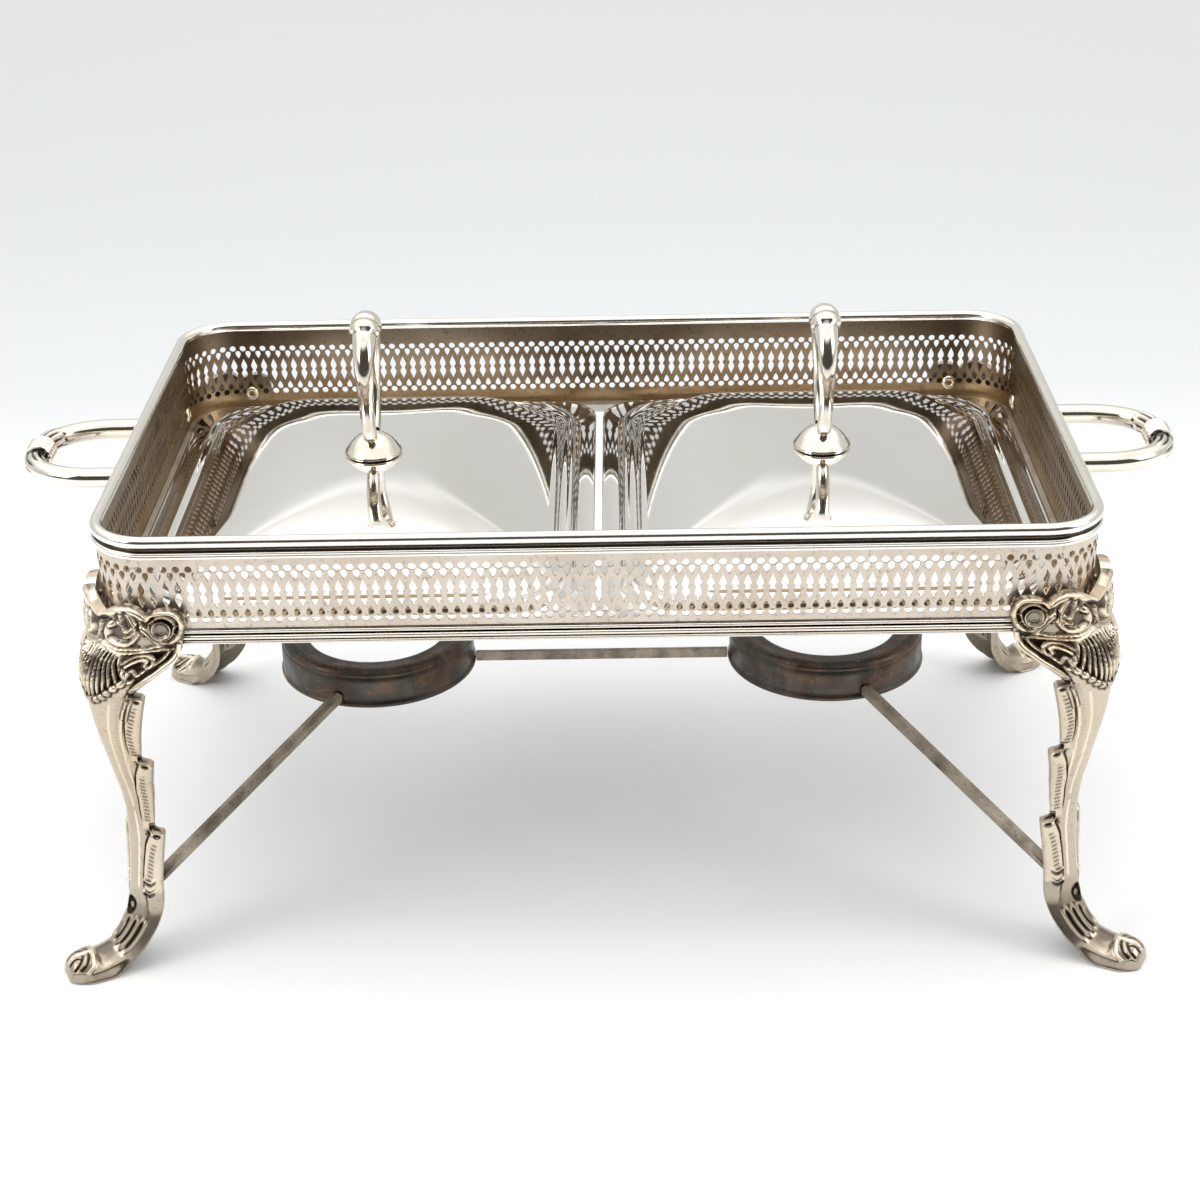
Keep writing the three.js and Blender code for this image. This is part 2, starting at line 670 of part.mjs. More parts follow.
for (const [name, side] of [['left', -1], ['right', 1]]) {
  const centreX = side * LID_CENTRE_X;
  add(`lid_${name}`, lidShell(centreX), 'mirror');
  add(`lid_button_${name}`, button().translate(centreX, 0, 0), 'silver');
  add(`lid_loop_${name}`, lidLoop(centreX), 'silver');
  add(`lid_washer_${name}`, washer().translate(centreX, 0, 0), 'aged');
  add(`lid_nut_${name}`, nut().translate(centreX, 0, 0), 'aged');
}

// Burner rings: a short wall with a rolled top edge and a flange turned in round the hole.
const burnerTop = BURNER_BOTTOM + BURNER_HEIGHT;
function burnerRing() {
  const wall = BURNER_RADIUS - 0.8;
  return lathe([
    [wall - BURNER_WALL, BURNER_BOTTOM],
    [BURNER_RADIUS, BURNER_BOTTOM],
    [BURNER_RADIUS, BURNER_BOTTOM + 1.6],
    [wall, BURNER_BOTTOM + 2.4],
    [wall, burnerTop - 5],
    [BURNER_RADIUS - 2, burnerTop - 2],
    [BURNER_RADIUS - 5, burnerTop],
    [BURNER_RADIUS - 8, burnerTop - 1],
    [BURNER_HOLE, burnerTop - 1.6],
    [BURNER_HOLE, burnerTop - 3],
    [wall - BURNER_WALL - 3.5, burnerTop - 2.8],
    [wall - BURNER_WALL, burnerTop - 5],
    [wall - BURNER_WALL, BURNER_BOTTOM],
  ], 24);
}
add('burner_ring_left', burnerRing().translate(-BURNER_X, 0, 0), 'copper');
add('burner_ring_right', burnerRing().translate(BURNER_X, 0, 0), 'copper');

// Centre bar between the two rings.
const barHalf = BURNER_X - BURNER_RADIUS - SEAT_GAP;
const barZ = BURNER_BOTTOM + BAR_HEIGHT / 2;
add('centre_bar', new THREE.BoxGeometry(2 * barHalf, BAR_THICKNESS, BAR_HEIGHT).translate(0, 0, barZ), 'dark');

// Struts: a round bar from each ring down to a leg, flattened into a drilled plate at the leg.
function strut(sx, sy) {
  const reach = CORNER_RADIUS;
  const plateOut = screwAt.out - (plateDepth + plateThick / 2) * Math.cos(screwAt.lean);
  const plateUp = SCREW_Z - (plateDepth + plateThick / 2) * Math.sin(screwAt.lean);
  const slope = [Math.sin(screwAt.lean), Math.cos(screwAt.lean)];
  const station = (out, up, halfAcross, halfThick, turn) => ({ out, up, halfAcross, halfThick, turn });
  const lowTurn = quarter - screwAt.lean;
  const across = (BURNER_X - CORNER_X + CORNER_Y) * Math.SQRT1_2;
  const middle = (BURNER_X - CORNER_X - CORNER_Y) * Math.SQRT1_2;
  const ringOut = middle + Math.sqrt(BURNER_RADIUS ** 2 - across ** 2) - reach;
  const kneeOut = plateOut - slope[0] * 12 - 2.5;
  const fall = (STRUT_RING_Z - STRUT_LEG_Z) / (kneeOut - ringOut);
  const barTurn = Math.atan(fall);
  const list = [
    station(ringOut, STRUT_RING_Z, STRUT_RADIUS, STRUT_RADIUS, barTurn),
    station(kneeOut - 14, STRUT_LEG_Z + 14 * fall, STRUT_RADIUS, STRUT_RADIUS, barTurn),
    station(kneeOut - 1.5, STRUT_LEG_Z + 0.6, 4, 1.6, barTurn + 0.35),
    station(plateOut - slope[0] * 7, plateUp + slope[1] * 7, 4.6, plateThick / 2, lowTurn),
    station(plateOut + slope[0] * 5.5, plateUp - slope[1] * 5.5, 4.6, plateThick / 2, lowTurn),
  ];
  const rings = list.map(({ out, up, halfAcross, halfThick, turn }) => (
    Array.from({ length: 8 }, (unused, j) => {
      const angle = (j + 0.5) / 8 * 2 * Math.PI;
      const square = halfThick < STRUT_RADIUS ? 1 / Math.cos(Math.PI / 8) : 1;
      const sideways = halfAcross * Math.cos(angle) * square;
      const lift = halfThick * Math.sign(Math.sin(angle)) * Math.min(1, Math.abs(Math.sin(angle)) * 1.3);
      return legPoint(sx, sy, out + lift * Math.sin(turn), sideways, up + lift * Math.cos(turn));
    })
  ));
  // The first ring of points is slid along the bar until it lies just off the burner ring's wall.
  const along = new THREE.Vector3(sx * Math.SQRT1_2, sy * Math.SQRT1_2, -fall).normalize();
  const seat = BURNER_RADIUS + SEAT_GAP;
  rings[0] = rings[0].map((point) => {
    const moved = point.clone().addScaledVector(along, -STRUT_SLIDE);
    for (let i = 0; i < 400; i += 1) {
      if (Math.hypot(moved.x - sx * BURNER_X, moved.y) >= seat) break;
      moved.addScaledVector(along, 0.1);
    }
    return moved;
  });
  const { origin, inward } = screwFrame(sx, sy);
  const drill = new THREE.CylinderGeometry(SCREW_RADIUS + SEAT_GAP, SCREW_RADIUS + SEAT_GAP, 40, 8);
  return cut(loft(rings, false), [aim(drill.rotateX(quarter), origin, inward)]);
}

// Screws: the head bears on the strut's plate and the shank passes out through the leg.
function screw() {
  const head = plateDepth + plateThick + SEAT_GAP;
  return lathe([
    [0, 1],
    [SCREW_RADIUS, 1],
    [SCREW_RADIUS, head],
    [3.4, head],
    [3, head + 1.6],
    [0, head + 2.1],
  ], 8);
}

for (const { name, sx, sy } of CORNERS) {
  const { origin, inward } = screwFrame(sx, sy);
  add(`strut_${name}`, strut(sx, sy), 'dark');
  add(`strut_screw_${name}`, aim(screw(), origin, inward), 'dark');
}

export default part;
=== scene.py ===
# %% [markdown]
# # A silver-plated chafing dish stand
#
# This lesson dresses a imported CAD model: a long pierced frame on four cast legs, with two
# mirror-polished covers, a loop handle at each end and a burner holder below.
# The frame of the model comes first, because every new piece sits on one of its bodies.

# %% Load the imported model
import math
import bmesh
import bpy
import numpy as np
from mathutils import Matrix, Vector


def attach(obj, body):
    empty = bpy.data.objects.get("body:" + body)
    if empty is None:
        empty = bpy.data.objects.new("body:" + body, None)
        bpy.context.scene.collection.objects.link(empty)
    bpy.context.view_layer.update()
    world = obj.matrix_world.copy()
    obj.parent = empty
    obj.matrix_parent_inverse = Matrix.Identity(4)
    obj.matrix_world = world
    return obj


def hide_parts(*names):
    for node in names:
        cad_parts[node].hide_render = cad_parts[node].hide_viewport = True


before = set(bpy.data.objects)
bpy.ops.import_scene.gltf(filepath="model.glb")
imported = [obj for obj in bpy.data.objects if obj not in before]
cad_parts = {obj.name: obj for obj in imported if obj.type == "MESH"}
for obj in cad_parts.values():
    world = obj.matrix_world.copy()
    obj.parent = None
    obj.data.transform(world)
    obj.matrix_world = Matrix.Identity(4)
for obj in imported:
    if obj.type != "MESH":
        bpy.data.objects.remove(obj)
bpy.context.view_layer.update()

MM = 0.001

# %% [markdown]
# ## Camera
#
# The camera looks down by about 27 degrees from in front. Its place and its focal length were
# fitted to the outline of the rim, the rows of holes and the feet, so a long lens is used: it
# keeps the far side of the frame almost as wide as the near side.

# %% Camera
FOCAL_PIXELS, IMAGE_PIXELS, SENSOR = 2279, 1200, 36.0
CAMERA_PLACE = (0.01508, -1.1023, 0.67938)
yaw, pitch, roll = -0.014, 0.465, -0.021
right = Vector((math.cos(yaw), -math.sin(yaw), 0))
ahead = Vector((math.sin(yaw) * math.cos(pitch), math.cos(yaw) * math.cos(pitch), -math.sin(pitch)))
up = right.cross(ahead)
across = math.cos(roll) * right + math.sin(roll) * up
upward = -math.sin(roll) * right + math.cos(roll) * up

camera_data = bpy.data.cameras.new("camera")
camera_data.sensor_width = SENSOR
camera_data.lens = SENSOR * FOCAL_PIXELS / IMAGE_PIXELS
camera_data.clip_start = 0.05
camera = bpy.data.objects.new("camera", camera_data)
turn = Matrix((across, upward, -ahead)).transposed().to_4x4()
camera.matrix_world = Matrix.Translation(CAMERA_PLACE) @ turn
bpy.context.collection.objects.link(camera)
bpy.context.scene.camera = camera
print("lens", round(camera_data.lens, 1), "mm")

# %% [markdown]
# ## Sizes
#
# The same sizes as in the CAD source, in millimetres, so that each piece lies where the CAD
# solid lies that it stands for.

# %% Sizes shared with the CAD source
HALF_X, HALF_Y, CORNER = 240, 150, 31.0
CORNER_X, CORNER_Y = HALF_X - CORNER, HALF_Y - CORNER
RIM_TOP, MOULDING_BOTTOM, LEDGE_TOP, OPENING_CENTRE = 236, 180.5, 184, 206.3
BAND_OUTER, BAND_INNER = -2, -3.2
LID_SEAT, LID_CROWN, LID_CENTRE = 184.3, 215, 117.3
LID_HALF_X, LID_HALF_Y = 115.5, 142.0
HANDLE_LEVEL, RIVET_LEVEL = 217, 192.0
BURNER_X, BURNER_BOTTOM = 122, 91.0
CORNERS = {"back_right": (1, 1), "back_left": (-1, 1), "front_left": (-1, -1),
    "front_right": (1, -1)}
SIDES = {"left": -1, "right": 1}


def place(x, y, z):
    """A point given in millimetres."""
    return Vector((x * MM, y * MM, z * MM))


# %% [markdown]
# ## Helpers for turned, swept and drawn-out metal
#
# Almost every piece here was spun, rolled, bent or cast. A spun piece is a profile turned round
# an axis. A rolled strip is a section carried round the frame: straight, then round a corner,
# four times. A bent rod is a ring drawn out along a path. Pieces with crevices get an attribute
# named hollow: 0 on a ridge and 1 in a crevice, where the finish lays a dark film.

# %% Finish a piece
WELD = 2e-6


def mark_hollows(bm, gain):
    """Store how far each vertex lies below its near neighbours, over its shortest edge."""
    film = bm.verts.layers.float.new("hollow")
    bm.normal_update()
    for vert in bm.verts:
        if vert.link_edges:
            least = min(e.calc_length() for e in vert.link_edges) + 1e-6
            near = [e.other_vert(vert).co for e in vert.link_edges if e.calc_length() < 3 * least]
            middle = sum(near, Vector()) / len(near)
            vert[film] = min(max((middle - vert.co).dot(vert.normal) / least * gain, 0), 1)


def finish_piece(name, bm, skins, stands_for, body="stand", sharp=38, film=2.5):
    """Merge, face outward, shade and hand a bmesh over as a piece that rides on a body."""
    bmesh.ops.remove_doubles(bm, verts=bm.verts, dist=WELD)
    bmesh.ops.recalc_face_normals(bm, faces=bm.faces)
    if film:
        mark_hollows(bm, film)
    mesh = bpy.data.meshes.new(name)
    bm.to_mesh(mesh)
    bm.free()
    for skin in skins:
        mesh.materials.append(skin)
    mesh.shade_smooth()
    mesh.set_sharp_from_angle(angle=math.radians(sharp))
    piece = bpy.data.objects.new(name, mesh)
    bpy.context.collection.objects.link(piece)
    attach(piece, body)
    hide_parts(*stands_for)
    print(name, "faces:", len(mesh.polygons))


# %% Turned profile
def turned(bm, profile, steps, origin, axis=(0, 0, 1)):
    """Spin a profile of (radius, height) pairs round the axis through the origin."""
    verts = [bm.verts.new(place(r, 0, h)) for r, h in profile]
    edges = [bm.edges.new(pair) for pair in zip(verts, verts[1:])]
    bmesh.ops.spin(bm, geom=verts + edges, cent=(0, 0, 0), axis=(0, 0, 1), dvec=(0, 0, 0),
        angle=math.tau, steps=steps, use_merge=True, use_duplicate=False)
    aim = Vector((0, 0, 1)).rotation_difference(Vector(axis)).to_matrix().to_4x4()
    bmesh.ops.transform(bm, matrix=Matrix.Translation(place(*origin)) @ aim, verts=bm.verts)


# %% Section carried round the frame
def of_kind(geom, kind):
    """The vertices, edges or faces of a mixed list."""
    return [g for g in geom if isinstance(g, kind)]


def closed_loop(bm, points):
    """New edges that join new vertices at the points into a closed outline."""
    verts = [bm.verts.new(p) for p in points]
    return [bm.edges.new((vert, verts[(i + 1) % len(verts)])) for i, vert in enumerate(verts)]


def carried_round(bm, section, steps):
    """Carry a closed section of (offset, height) pairs round the frame's rounded rectangle."""
    edges = closed_loop(bm, [place(HALF_X + off, -CORNER_Y, z) for off, z in section])
    runs = [(0, 2 * CORNER_Y), (-2 * CORNER_X, 0), (0, -2 * CORNER_Y), (2 * CORNER_X, 0)]
    for (dx, dy), (sx, sy) in zip(runs, CORNERS.values()):
        geom = bmesh.ops.extrude_edge_only(bm, edges=edges)["geom"]
        moved = of_kind(geom, bmesh.types.BMVert)
        bmesh.ops.translate(bm, verts=moved, vec=place(dx, dy, 0))
        edges = [e for e in of_kind(geom, bmesh.types.BMEdge) if set(e.verts) <= set(moved)]
        out = bmesh.ops.spin(bm, geom=moved + edges, cent=place(sx * CORNER_X, sy * CORNER_Y, 0),
            axis=(0, 0, 1), dvec=(0, 0, 0), angle=math.pi / 2, steps=steps, use_merge=False,
            use_duplicate=False)["geom_last"]
        edges = of_kind(out, bmesh.types.BMEdge)


# %% Rings drawn out one after another
def drawn_out(bm, rings):
    """Draw a closed ring of points out through the rings that follow it, with a cap on each end."""
    edges = closed_loop(bm, rings[0])
    verts = list(bm.verts)
    bm.faces.new(verts)
    for ring in rings[1:]:
        geom = bmesh.ops.extrude_edge_only(bm, edges=edges)["geom"]
        verts = of_kind(geom, bmesh.types.BMVert)
        for vert, point in zip(verts, ring):
            vert.co = point
        edges = [e for e in of_kind(geom, bmesh.types.BMEdge) if set(e.verts) <= set(verts)]
    bm.faces.new(verts)


# %% Round or fluted rod along a path
FLUTES = 9


def rod_rings(path, sizes, side, count, flutes=()):
    """Rings across a path. side is the normal of the path's plane, sizes are the radii."""
    rings = []
    side = Vector(side).normalized()
    for i, point in enumerate(path):
        along = (path[min(i + 1, len(path) - 1)] - path[max(i - 1, 0)]).normalized()
        over = along.cross(side).normalized()
        ring = []
        for j in range(count):
            angle = math.tau * j / count
            radius = sizes[i] * MM
            if flutes:
                radius *= 1 + flutes[i] * math.cos(FLUTES * angle)
            ring.append(point + over * radius * math.cos(angle) + side * radius * math.sin(angle))
        rings.append(ring)
    return rings


def arc(centre, radius, start, stop, count):
    """Points on an arc, as (offset, height) pairs."""
    angles = [math.radians(start + (stop - start) * i / (count - 1)) for i in range(count)]
    return [(centre[0] + radius * math.cos(a), centre[1] + radius * math.sin(a)) for a in angles]


def raised(points, level):
    """A list of (offset, height) pairs with its heights counted from a level."""
    return [(across_it, level + height) for across_it, height in points]


# %% [markdown]
# ## Finishes
#
# Silver plate is nearly white metal, and what shows on it is wear: the high places are bright,
# the hollows keep a dark brown film, and large areas drift from cool to warm. Each finish mixes
# its colour and roughness from noise on Object coordinates, so the pattern stays on the piece.

# %% Node shorthand
def add_node(tree, kind, inputs=(), **settings):
    """Add a node, give its inputs values or links, and hand back its outputs."""
    node = tree.nodes.new("ShaderNode" + kind)
    for key, value in settings.items():
        setattr(node, key, value)
    for key, value in dict(inputs).items():
        socket = node.inputs[key]
        if isinstance(value, bpy.types.NodeSocket):
            tree.links.new(value, socket)
        else:
            socket.default_value = (*value, 1) if socket.type == "RGBA" else value
    return node.outputs


def new_skin(name):
    """A material with a metal shader, and its node tree."""
    skin = bpy.data.materials.new(name)
    skin.use_nodes = True
    shader = skin.node_tree.nodes["Principled BSDF"]
    shader.inputs["Metallic"].default_value = 1.0
    return skin, skin.node_tree, shader


def coat(tree, shader, colour, gloss, height, distance, strength):
    """Give a shader its colour, its roughness and a fine bump, which is in metres."""
    tree.links.new(colour, shader.inputs["Base Color"])
    tree.links.new(gloss, shader.inputs["Roughness"])
    bump = add_node(tree, "Bump", {"Height": height, "Distance": distance, "Strength": strength})
    tree.links.new(bump["Normal"], shader.inputs["Normal"])


def place_along(tree, axis, source="Object"):
    """Where a point lies along one axis."""
    where = add_node(tree, "TexCoord")[source]
    return add_node(tree, "SeparateXYZ", {"Vector": where})[axis]


def noise(tree, scale, detail=3, stretch=(1, 1, 1), rough=0.55):
    """Noise on Object coordinates, stretched along the axes."""
    where = add_node(tree, "TexCoord")["Object"]
    where = add_node(tree, "Mapping", {"Vector": where, "Scale": stretch})["Vector"]
    grain = {"Vector": where, "Scale": scale, "Detail": detail, "Roughness": rough}
    return add_node(tree, "TexNoise", grain)["Fac"]


def ramp(tree, source, stops):
    """A colour ramp from a value, with (place, colour) stops."""
    node = tree.nodes.new("ShaderNodeValToRGB")
    while len(node.color_ramp.elements) < len(stops):
        node.color_ramp.elements.new(0.5)
    for element, (where, colour) in zip(node.color_ramp.elements, stops):
        element.position = where
        element.color = (*colour, 1)
    tree.links.new(source, node.inputs["Fac"])
    return node.outputs["Color"]


def fit_range(tree, source, low, high, to_low=0, to_high=1):
    """Map a value from one range to another."""
    limits = {"From Min": low, "From Max": high, "To Min": to_low, "To Max": to_high}
    return add_node(tree, "MapRange", {"Value": source, **limits})["Result"]


def blend(tree, amount, below, above, kind="MIX"):
    """Mix two colours by a value. A Mix node has its two colours at inputs 6 and 7."""
    parts = {"Factor": amount, 6: below, 7: above}
    return add_node(tree, "Mix", parts, data_type="RGBA", blend_type=kind)[2]


# %% Silver plate, bright, worn and inside the frame
FILM = (0.03, 0.021, 0.014)


def silver_skin(name, bright, warm, rough, wear):
    """Silver plate that drifts between two tones, with a dark film in its hollows."""
    skin, tree, shader = new_skin(name)
    fine = noise(tree, 420)
    tone = ramp(tree, noise(tree, 14, 4), [(0.35, bright), (0.72, warm)])
    flecks = fit_range(tree, fine, 0.56, 0.78, 0, wear)
    tone = blend(tree, flecks, tone, tuple(c * 0.45 for c in warm))
    hollow = add_node(tree, "Attribute", attribute_name="hollow")["Fac"]
    tone = blend(tree, fit_range(tree, hollow, 0.12, 0.75), tone, FILM)
    gloss = fit_range(tree, noise(tree, 60, 4), 0.3, 0.75, *rough)
    coat(tree, shader, tone, gloss, fine, 0.00005, 0.5)
    return skin


rim_silver = silver_skin("rim_silver", (0.96, 0.94, 0.89), (0.91, 0.86, 0.78), (0.08, 0.2), 0.2)
moulding_silver = silver_skin("moulding_silver",
    (0.9, 0.85, 0.77), (0.84, 0.76, 0.66), (0.1, 0.24), 0.3)
band_silver = silver_skin("band_silver", (0.66, 0.6, 0.52), (0.58, 0.49, 0.4), (0.26, 0.44), 0.8)
# Tarnish for the band's inner face. On the walls of the openings the same dark colour is painted
# shade.
band_tarnish_and_wall_shade = silver_skin("band_tarnish_and_wall_shade",
    (0.27, 0.22, 0.155), (0.21, 0.145, 0.085), (0.3, 0.5), 0.7)
leg_silver = silver_skin("leg_silver", (0.87, 0.77, 0.62), (0.72, 0.59, 0.43), (0.22, 0.38), 0.5)
leg_back = silver_skin("leg_back", (0.4, 0.36, 0.3), (0.3, 0.24, 0.17), (0.4, 0.6), 0.6)
rivet_cup = silver_skin("rivet_cup", (0.26, 0.22, 0.18), (0.36, 0.31, 0.24), (0.22, 0.4), 0.5)
handle_silver = silver_skin("handle_silver",
    (0.9, 0.86, 0.79), (0.83, 0.76, 0.64), (0.07, 0.18), 0.2)

# %% The band's inner finish is multiplied golden and lighter at its foot, darker higher up, and twice as light on the front wall
tree = band_tarnish_and_wall_shade.node_tree
base_colour = tree.nodes["Principled BSDF"].inputs["Base Color"]
up_the_wall = fit_range(tree, place_along(tree, "Z"), 0.184, 0.228)
drift = ramp(tree, up_the_wall, [(0, (1.6, 1.4, 1.1)), (0.35, (1, 0.95, 0.9)),
    (1, (0.78, 0.78, 0.8))])
drift = blend(tree, fit_range(tree, place_along(tree, "Y"), -0.1, -0.14), drift, (2, 2, 2))
tarnish = base_colour.links[0].from_socket
tree.links.new(blend(tree, 1, tarnish, drift, "MULTIPLY"), base_colour)


# %% Mirror plate for the covers
def mirror_skin():
    """A polished cover: faint swirls in the gloss and a slow drift of tone."""
    skin, tree, shader = new_skin("cover_mirror")
    haze = fit_range(tree, noise(tree, 160, 5, (1, 1, 6), 0.7), 0.35, 0.8, 0.03, 0.09)
    tone = ramp(tree, noise(tree, 9, 4), [(0.3, (0.88, 0.87, 0.85)), (0.8, (0.83, 0.81, 0.77))])
    coat(tree, shader, tone, haze, noise(tree, 5, 2), 0.0005, 0.1)
    return skin


cover_mirror = mirror_skin()


# %% Heat-tinted burner metal and dark struts
def heat_skin():
    """Plate that a flame has stained: brown, copper and grey, with pale scuffs and streaks."""
    skin, tree, shader = new_skin("burner_heat")
    patches = noise(tree, 26, 5, (1, 1, 1.6), 0.6)
    tint = ramp(tree, patches, [(0.3, (0.055, 0.045, 0.036)), (0.42, (0.115, 0.078, 0.06)),
        (0.5, (0.08, 0.066, 0.056)), (0.58, (0.075, 0.075, 0.066)), (0.7, (0.15, 0.098, 0.072))])
    scuffs = fit_range(tree, noise(tree, 520, 5, (1, 1, 1), 0.7), 0.6, 0.72, 0, 0.7)
    tint = blend(tree, scuffs, tint, (0.3, 0.26, 0.2))
    streaks = fit_range(tree, noise(tree, 90, 4, (1, 1, 0.15)), 0.52, 0.8, 0, 0.4)
    tint = blend(tree, streaks, tint, (0.22, 0.18, 0.135))
    gloss = fit_range(tree, noise(tree, 130, 4), 0.3, 0.7, 0.28, 0.52)
    coat(tree, shader, tint, gloss, noise(tree, 300), 0.00012, 0.6)
    return skin


def dull_skin(name, dark, light, spots):
    """Dull tarnished metal with dark spots."""
    skin, tree, shader = new_skin(name)
    tone = ramp(tree, noise(tree, 55, 5), [(0.35, dark), (0.68, light)])
    pits = fit_range(tree, noise(tree, 700, 2), 0.58, 0.72, 0, spots)
    gloss = fit_range(tree, noise(tree, 160), 0.3, 0.7, 0.32, 0.55)
    tone = blend(tree, pits, tone, (0.05, 0.04, 0.03))
    coat(tree, shader, tone, gloss, noise(tree, 500), 0.0001, 0.5)
    return skin


burner_heat = heat_skin()
strut_dull = dull_skin("strut_dull", (0.16, 0.135, 0.105), (0.46, 0.4, 0.32), 0.6)
ledge_dull = dull_skin("ledge_dull", (0.62, 0.58, 0.51), (0.74, 0.7, 0.63), 0.3)

# %% [markdown]
# ## Top rim
#
# The rim is one strip of sheet rolled over a wire. It shows a round bead, a narrow dark groove
# and a thin second bead over the pierced band. Its section is a short list of points, and the
# strip is made by carrying that section round the frame.

# %% Top rim
bm = bmesh.new()
bead = arc((-3, -3), 3, -52, 232, 24)
second = arc((-1.05, -8.4), 0.95, -90, 60, 8)
rim_section = [(-1.7, -11), (-1.1, -11), (-0.75, -10.7), (-0.75, -9.8), (-1.15, -9.4), *second[1:],
    (-1.6, -7.1), (-1.75, -6.5), (-1.5, -5.9), *bead, (-3.5, -5.7), (-1.7, -5.7)]
carried_round(bm, raised(rim_section, RIM_TOP), 18)
finish_piece("rim", bm, [rim_silver], ["top_rim"])

# %% [markdown]
# ## Bottom moulding and dish ledge
#
# The moulding at the foot of the band has three fine beads with dark grooves between them. The
# ledge inside carries the dishes: a plain strip with its edge turned down.

# %% Bottom moulding
bm = bmesh.new()
top_bead = arc((-1.3, 6.7), 0.9, 90, -90, 8)
main_bead = arc((-1.2, 3.8), 1.2, 90, -90, 10)
low_bead = arc((-1.2, 1), 0.8, 60, -90, 7)
moulding_section = [(-1.7, 8), (-1.4, 8), *top_bead, (-1.6, 5.4), *main_bead, (-1.7, 2.2),
    *low_bead, (-5, 0.1), (-5, 1.8), (-1.75, 1.8)]
carried_round(bm, raised(moulding_section, MOULDING_BOTTOM), 18)
finish_piece("foot_moulding", bm, [moulding_silver], ["bottom_moulding"])

# %% Dish ledge
bm = bmesh.new()
ledge_section = [(-3.5, 0), (-10.6, 0), (-11.1, -0.3), (-11.2, -0.8), (-11.2, -4), (-10, -4),
    (-10, -1.4), (-3.5, -1.4)]
carried_round(bm, raised(ledge_section, LEDGE_TOP), 12)
finish_piece("ledge", bm, [ledge_dull], ["dish_ledge"])

# %% [markdown]
# ## Pierced band
#
# The band is a punched strip. One repeat of its pattern holds a round hole at the top and one at
# the bottom, a tall opening with a narrow waist between them, and half of a drop-shaped hole at
# each edge. The repeat is filled flat between its outlines, given its thickness, copied along
# the strip, and the strip is then bent round the frame. Only the margins touch their neighbours,
# so the walls at the repeat's own edges are taken away before the copies are merged.

# %% One repeat of the piercing
BAND_LOW, BAND_HIGH = LEDGE_TOP - 1.4, RIM_TOP - 6.0
BAND_MIDDLE_R = CORNER + (BAND_OUTER + BAND_INNER) / 2
ROUND_TRIP = 4 * (CORNER_X + CORNER_Y) + math.tau * BAND_MIDDLE_R
REPEATS = 257
PITCH = ROUND_TRIP / REPEATS
ROUND_HOLE = 1.8


def outline(bm, points):
    """A closed outline of flat points (along, height), with heights from the openings' middle."""
    closed_loop(bm, [place(s, 0, OPENING_CENTRE + z) for s, z in points])


middle = PITCH / 2
tall_side = [(0.55, 5.6), (1.35, 4), (1.8, 2.4), (1.55, 1.3), (0.8, 0)]
tall = [(0, 7.1)] + tall_side + [(w, -z) for w, z in reversed(tall_side[:-1])] + [(0, -7.1)]
tall = [(middle + w, z) for w, z in tall] + [(middle - w, z) for w, z in reversed(tall[1:-1])]
drop = [(0, 11.9), (1.15, 11.5), (1.6, 10.2), (1.1, 8.7), (0, 6.9)]
left_side = [(0, BAND_HIGH - OPENING_CENTRE), *drop, *((s, -z) for s, z in reversed(drop)),
    (0, BAND_LOW - OPENING_CENTRE)]
right_side = [(PITCH - s, z) for s, z in reversed(left_side)]

flat = bmesh.new()
outline(flat, left_side + right_side)
outline(flat, tall)
for height in (13.1, -13.1):
    outline(flat, arc((middle, height), ROUND_HOLE, 0, 330, 12))
bmesh.ops.triangle_fill(flat, use_beauty=True, use_dissolve=False, edges=flat.edges,
    normal=(0, -1, 0))
bmesh.ops.join_triangles(flat, faces=flat.faces, angle_face_threshold=0.1,
    angle_shape_threshold=3.1)
thickened = bmesh.ops.extrude_face_region(flat, geom=list(flat.faces), use_keep_orig=True)["geom"]
inner_verts = of_kind(thickened, bmesh.types.BMVert)
bmesh.ops.translate(flat, verts=inner_verts, vec=place(0, BAND_OUTER - BAND_INNER, 0))
# Faces that reach the inner side take the second finish. On the inner face it is tarnish; on the
# walls of the openings it is painted shade that outlines each opening.
for face in flat.faces:
    face.material_index = any(v.co.y > 0.5 * MM for v in face.verts)


def stands_at(face, along):
    """Whether a face stands across the strip at a place along it."""
    return all(abs(v.co.x - along) < WELD for v in face.verts)


edge_walls = [f for f in flat.faces if stands_at(f, 0) or stands_at(f, PITCH * MM)]
bmesh.ops.delete(flat, geom=edge_walls, context="FACES_ONLY")
print("one repeat:", len(flat.faces), "faces, pitch", round(PITCH, 3), "mm")


# %% Copy the repeat along the strip and bend it round the frame
def bend_to_frame(along, depth, height):
    """From a place on the flat strip to a place on the bent band. Depth runs inward."""
    along %= ROUND_TRIP
    reach = CORNER + BAND_OUTER - depth
    bend = BAND_MIDDLE_R * math.pi / 2
    for i, (sx, sy) in enumerate(CORNERS.values()):
        run = 2 * (CORNER_X if i % 2 else CORNER_Y)
        ahead_of_corner = max(run - along, 0)
        angle = math.pi / 2 * i + max(along - run, 0) / BAND_MIDDLE_R
        if along <= run + bend or i == 3:
            nx, ny = math.cos(angle), math.sin(angle)
            x = sx * CORNER_X + nx * reach + ny * ahead_of_corner
            y = sy * CORNER_Y + ny * reach - nx * ahead_of_corner
            return place(x, y, height)
        along -= run + bend


repeat_mesh = bpy.data.meshes.new("repeat")
flat.to_mesh(repeat_mesh)
flat.free()
bm = bmesh.new()
for i in range(REPEATS):
    start = len(bm.verts)
    bm.from_mesh(repeat_mesh)
    bm.verts.ensure_lookup_table()
    for vert in bm.verts[start:]:
        vert.co = bend_to_frame(vert.co.x / MM + i * PITCH, vert.co.y / MM, vert.co.z / MM)
bpy.data.meshes.remove(repeat_mesh)
band_nodes = ["band_" + wall for wall in ("front", "back", "left", "right")]
band_nodes += ["band_corner_" + corner for corner in CORNERS]
finish_piece("pierced_band", bm, [band_silver, band_tarnish_and_wall_shade], band_nodes, sharp=30, film=0)

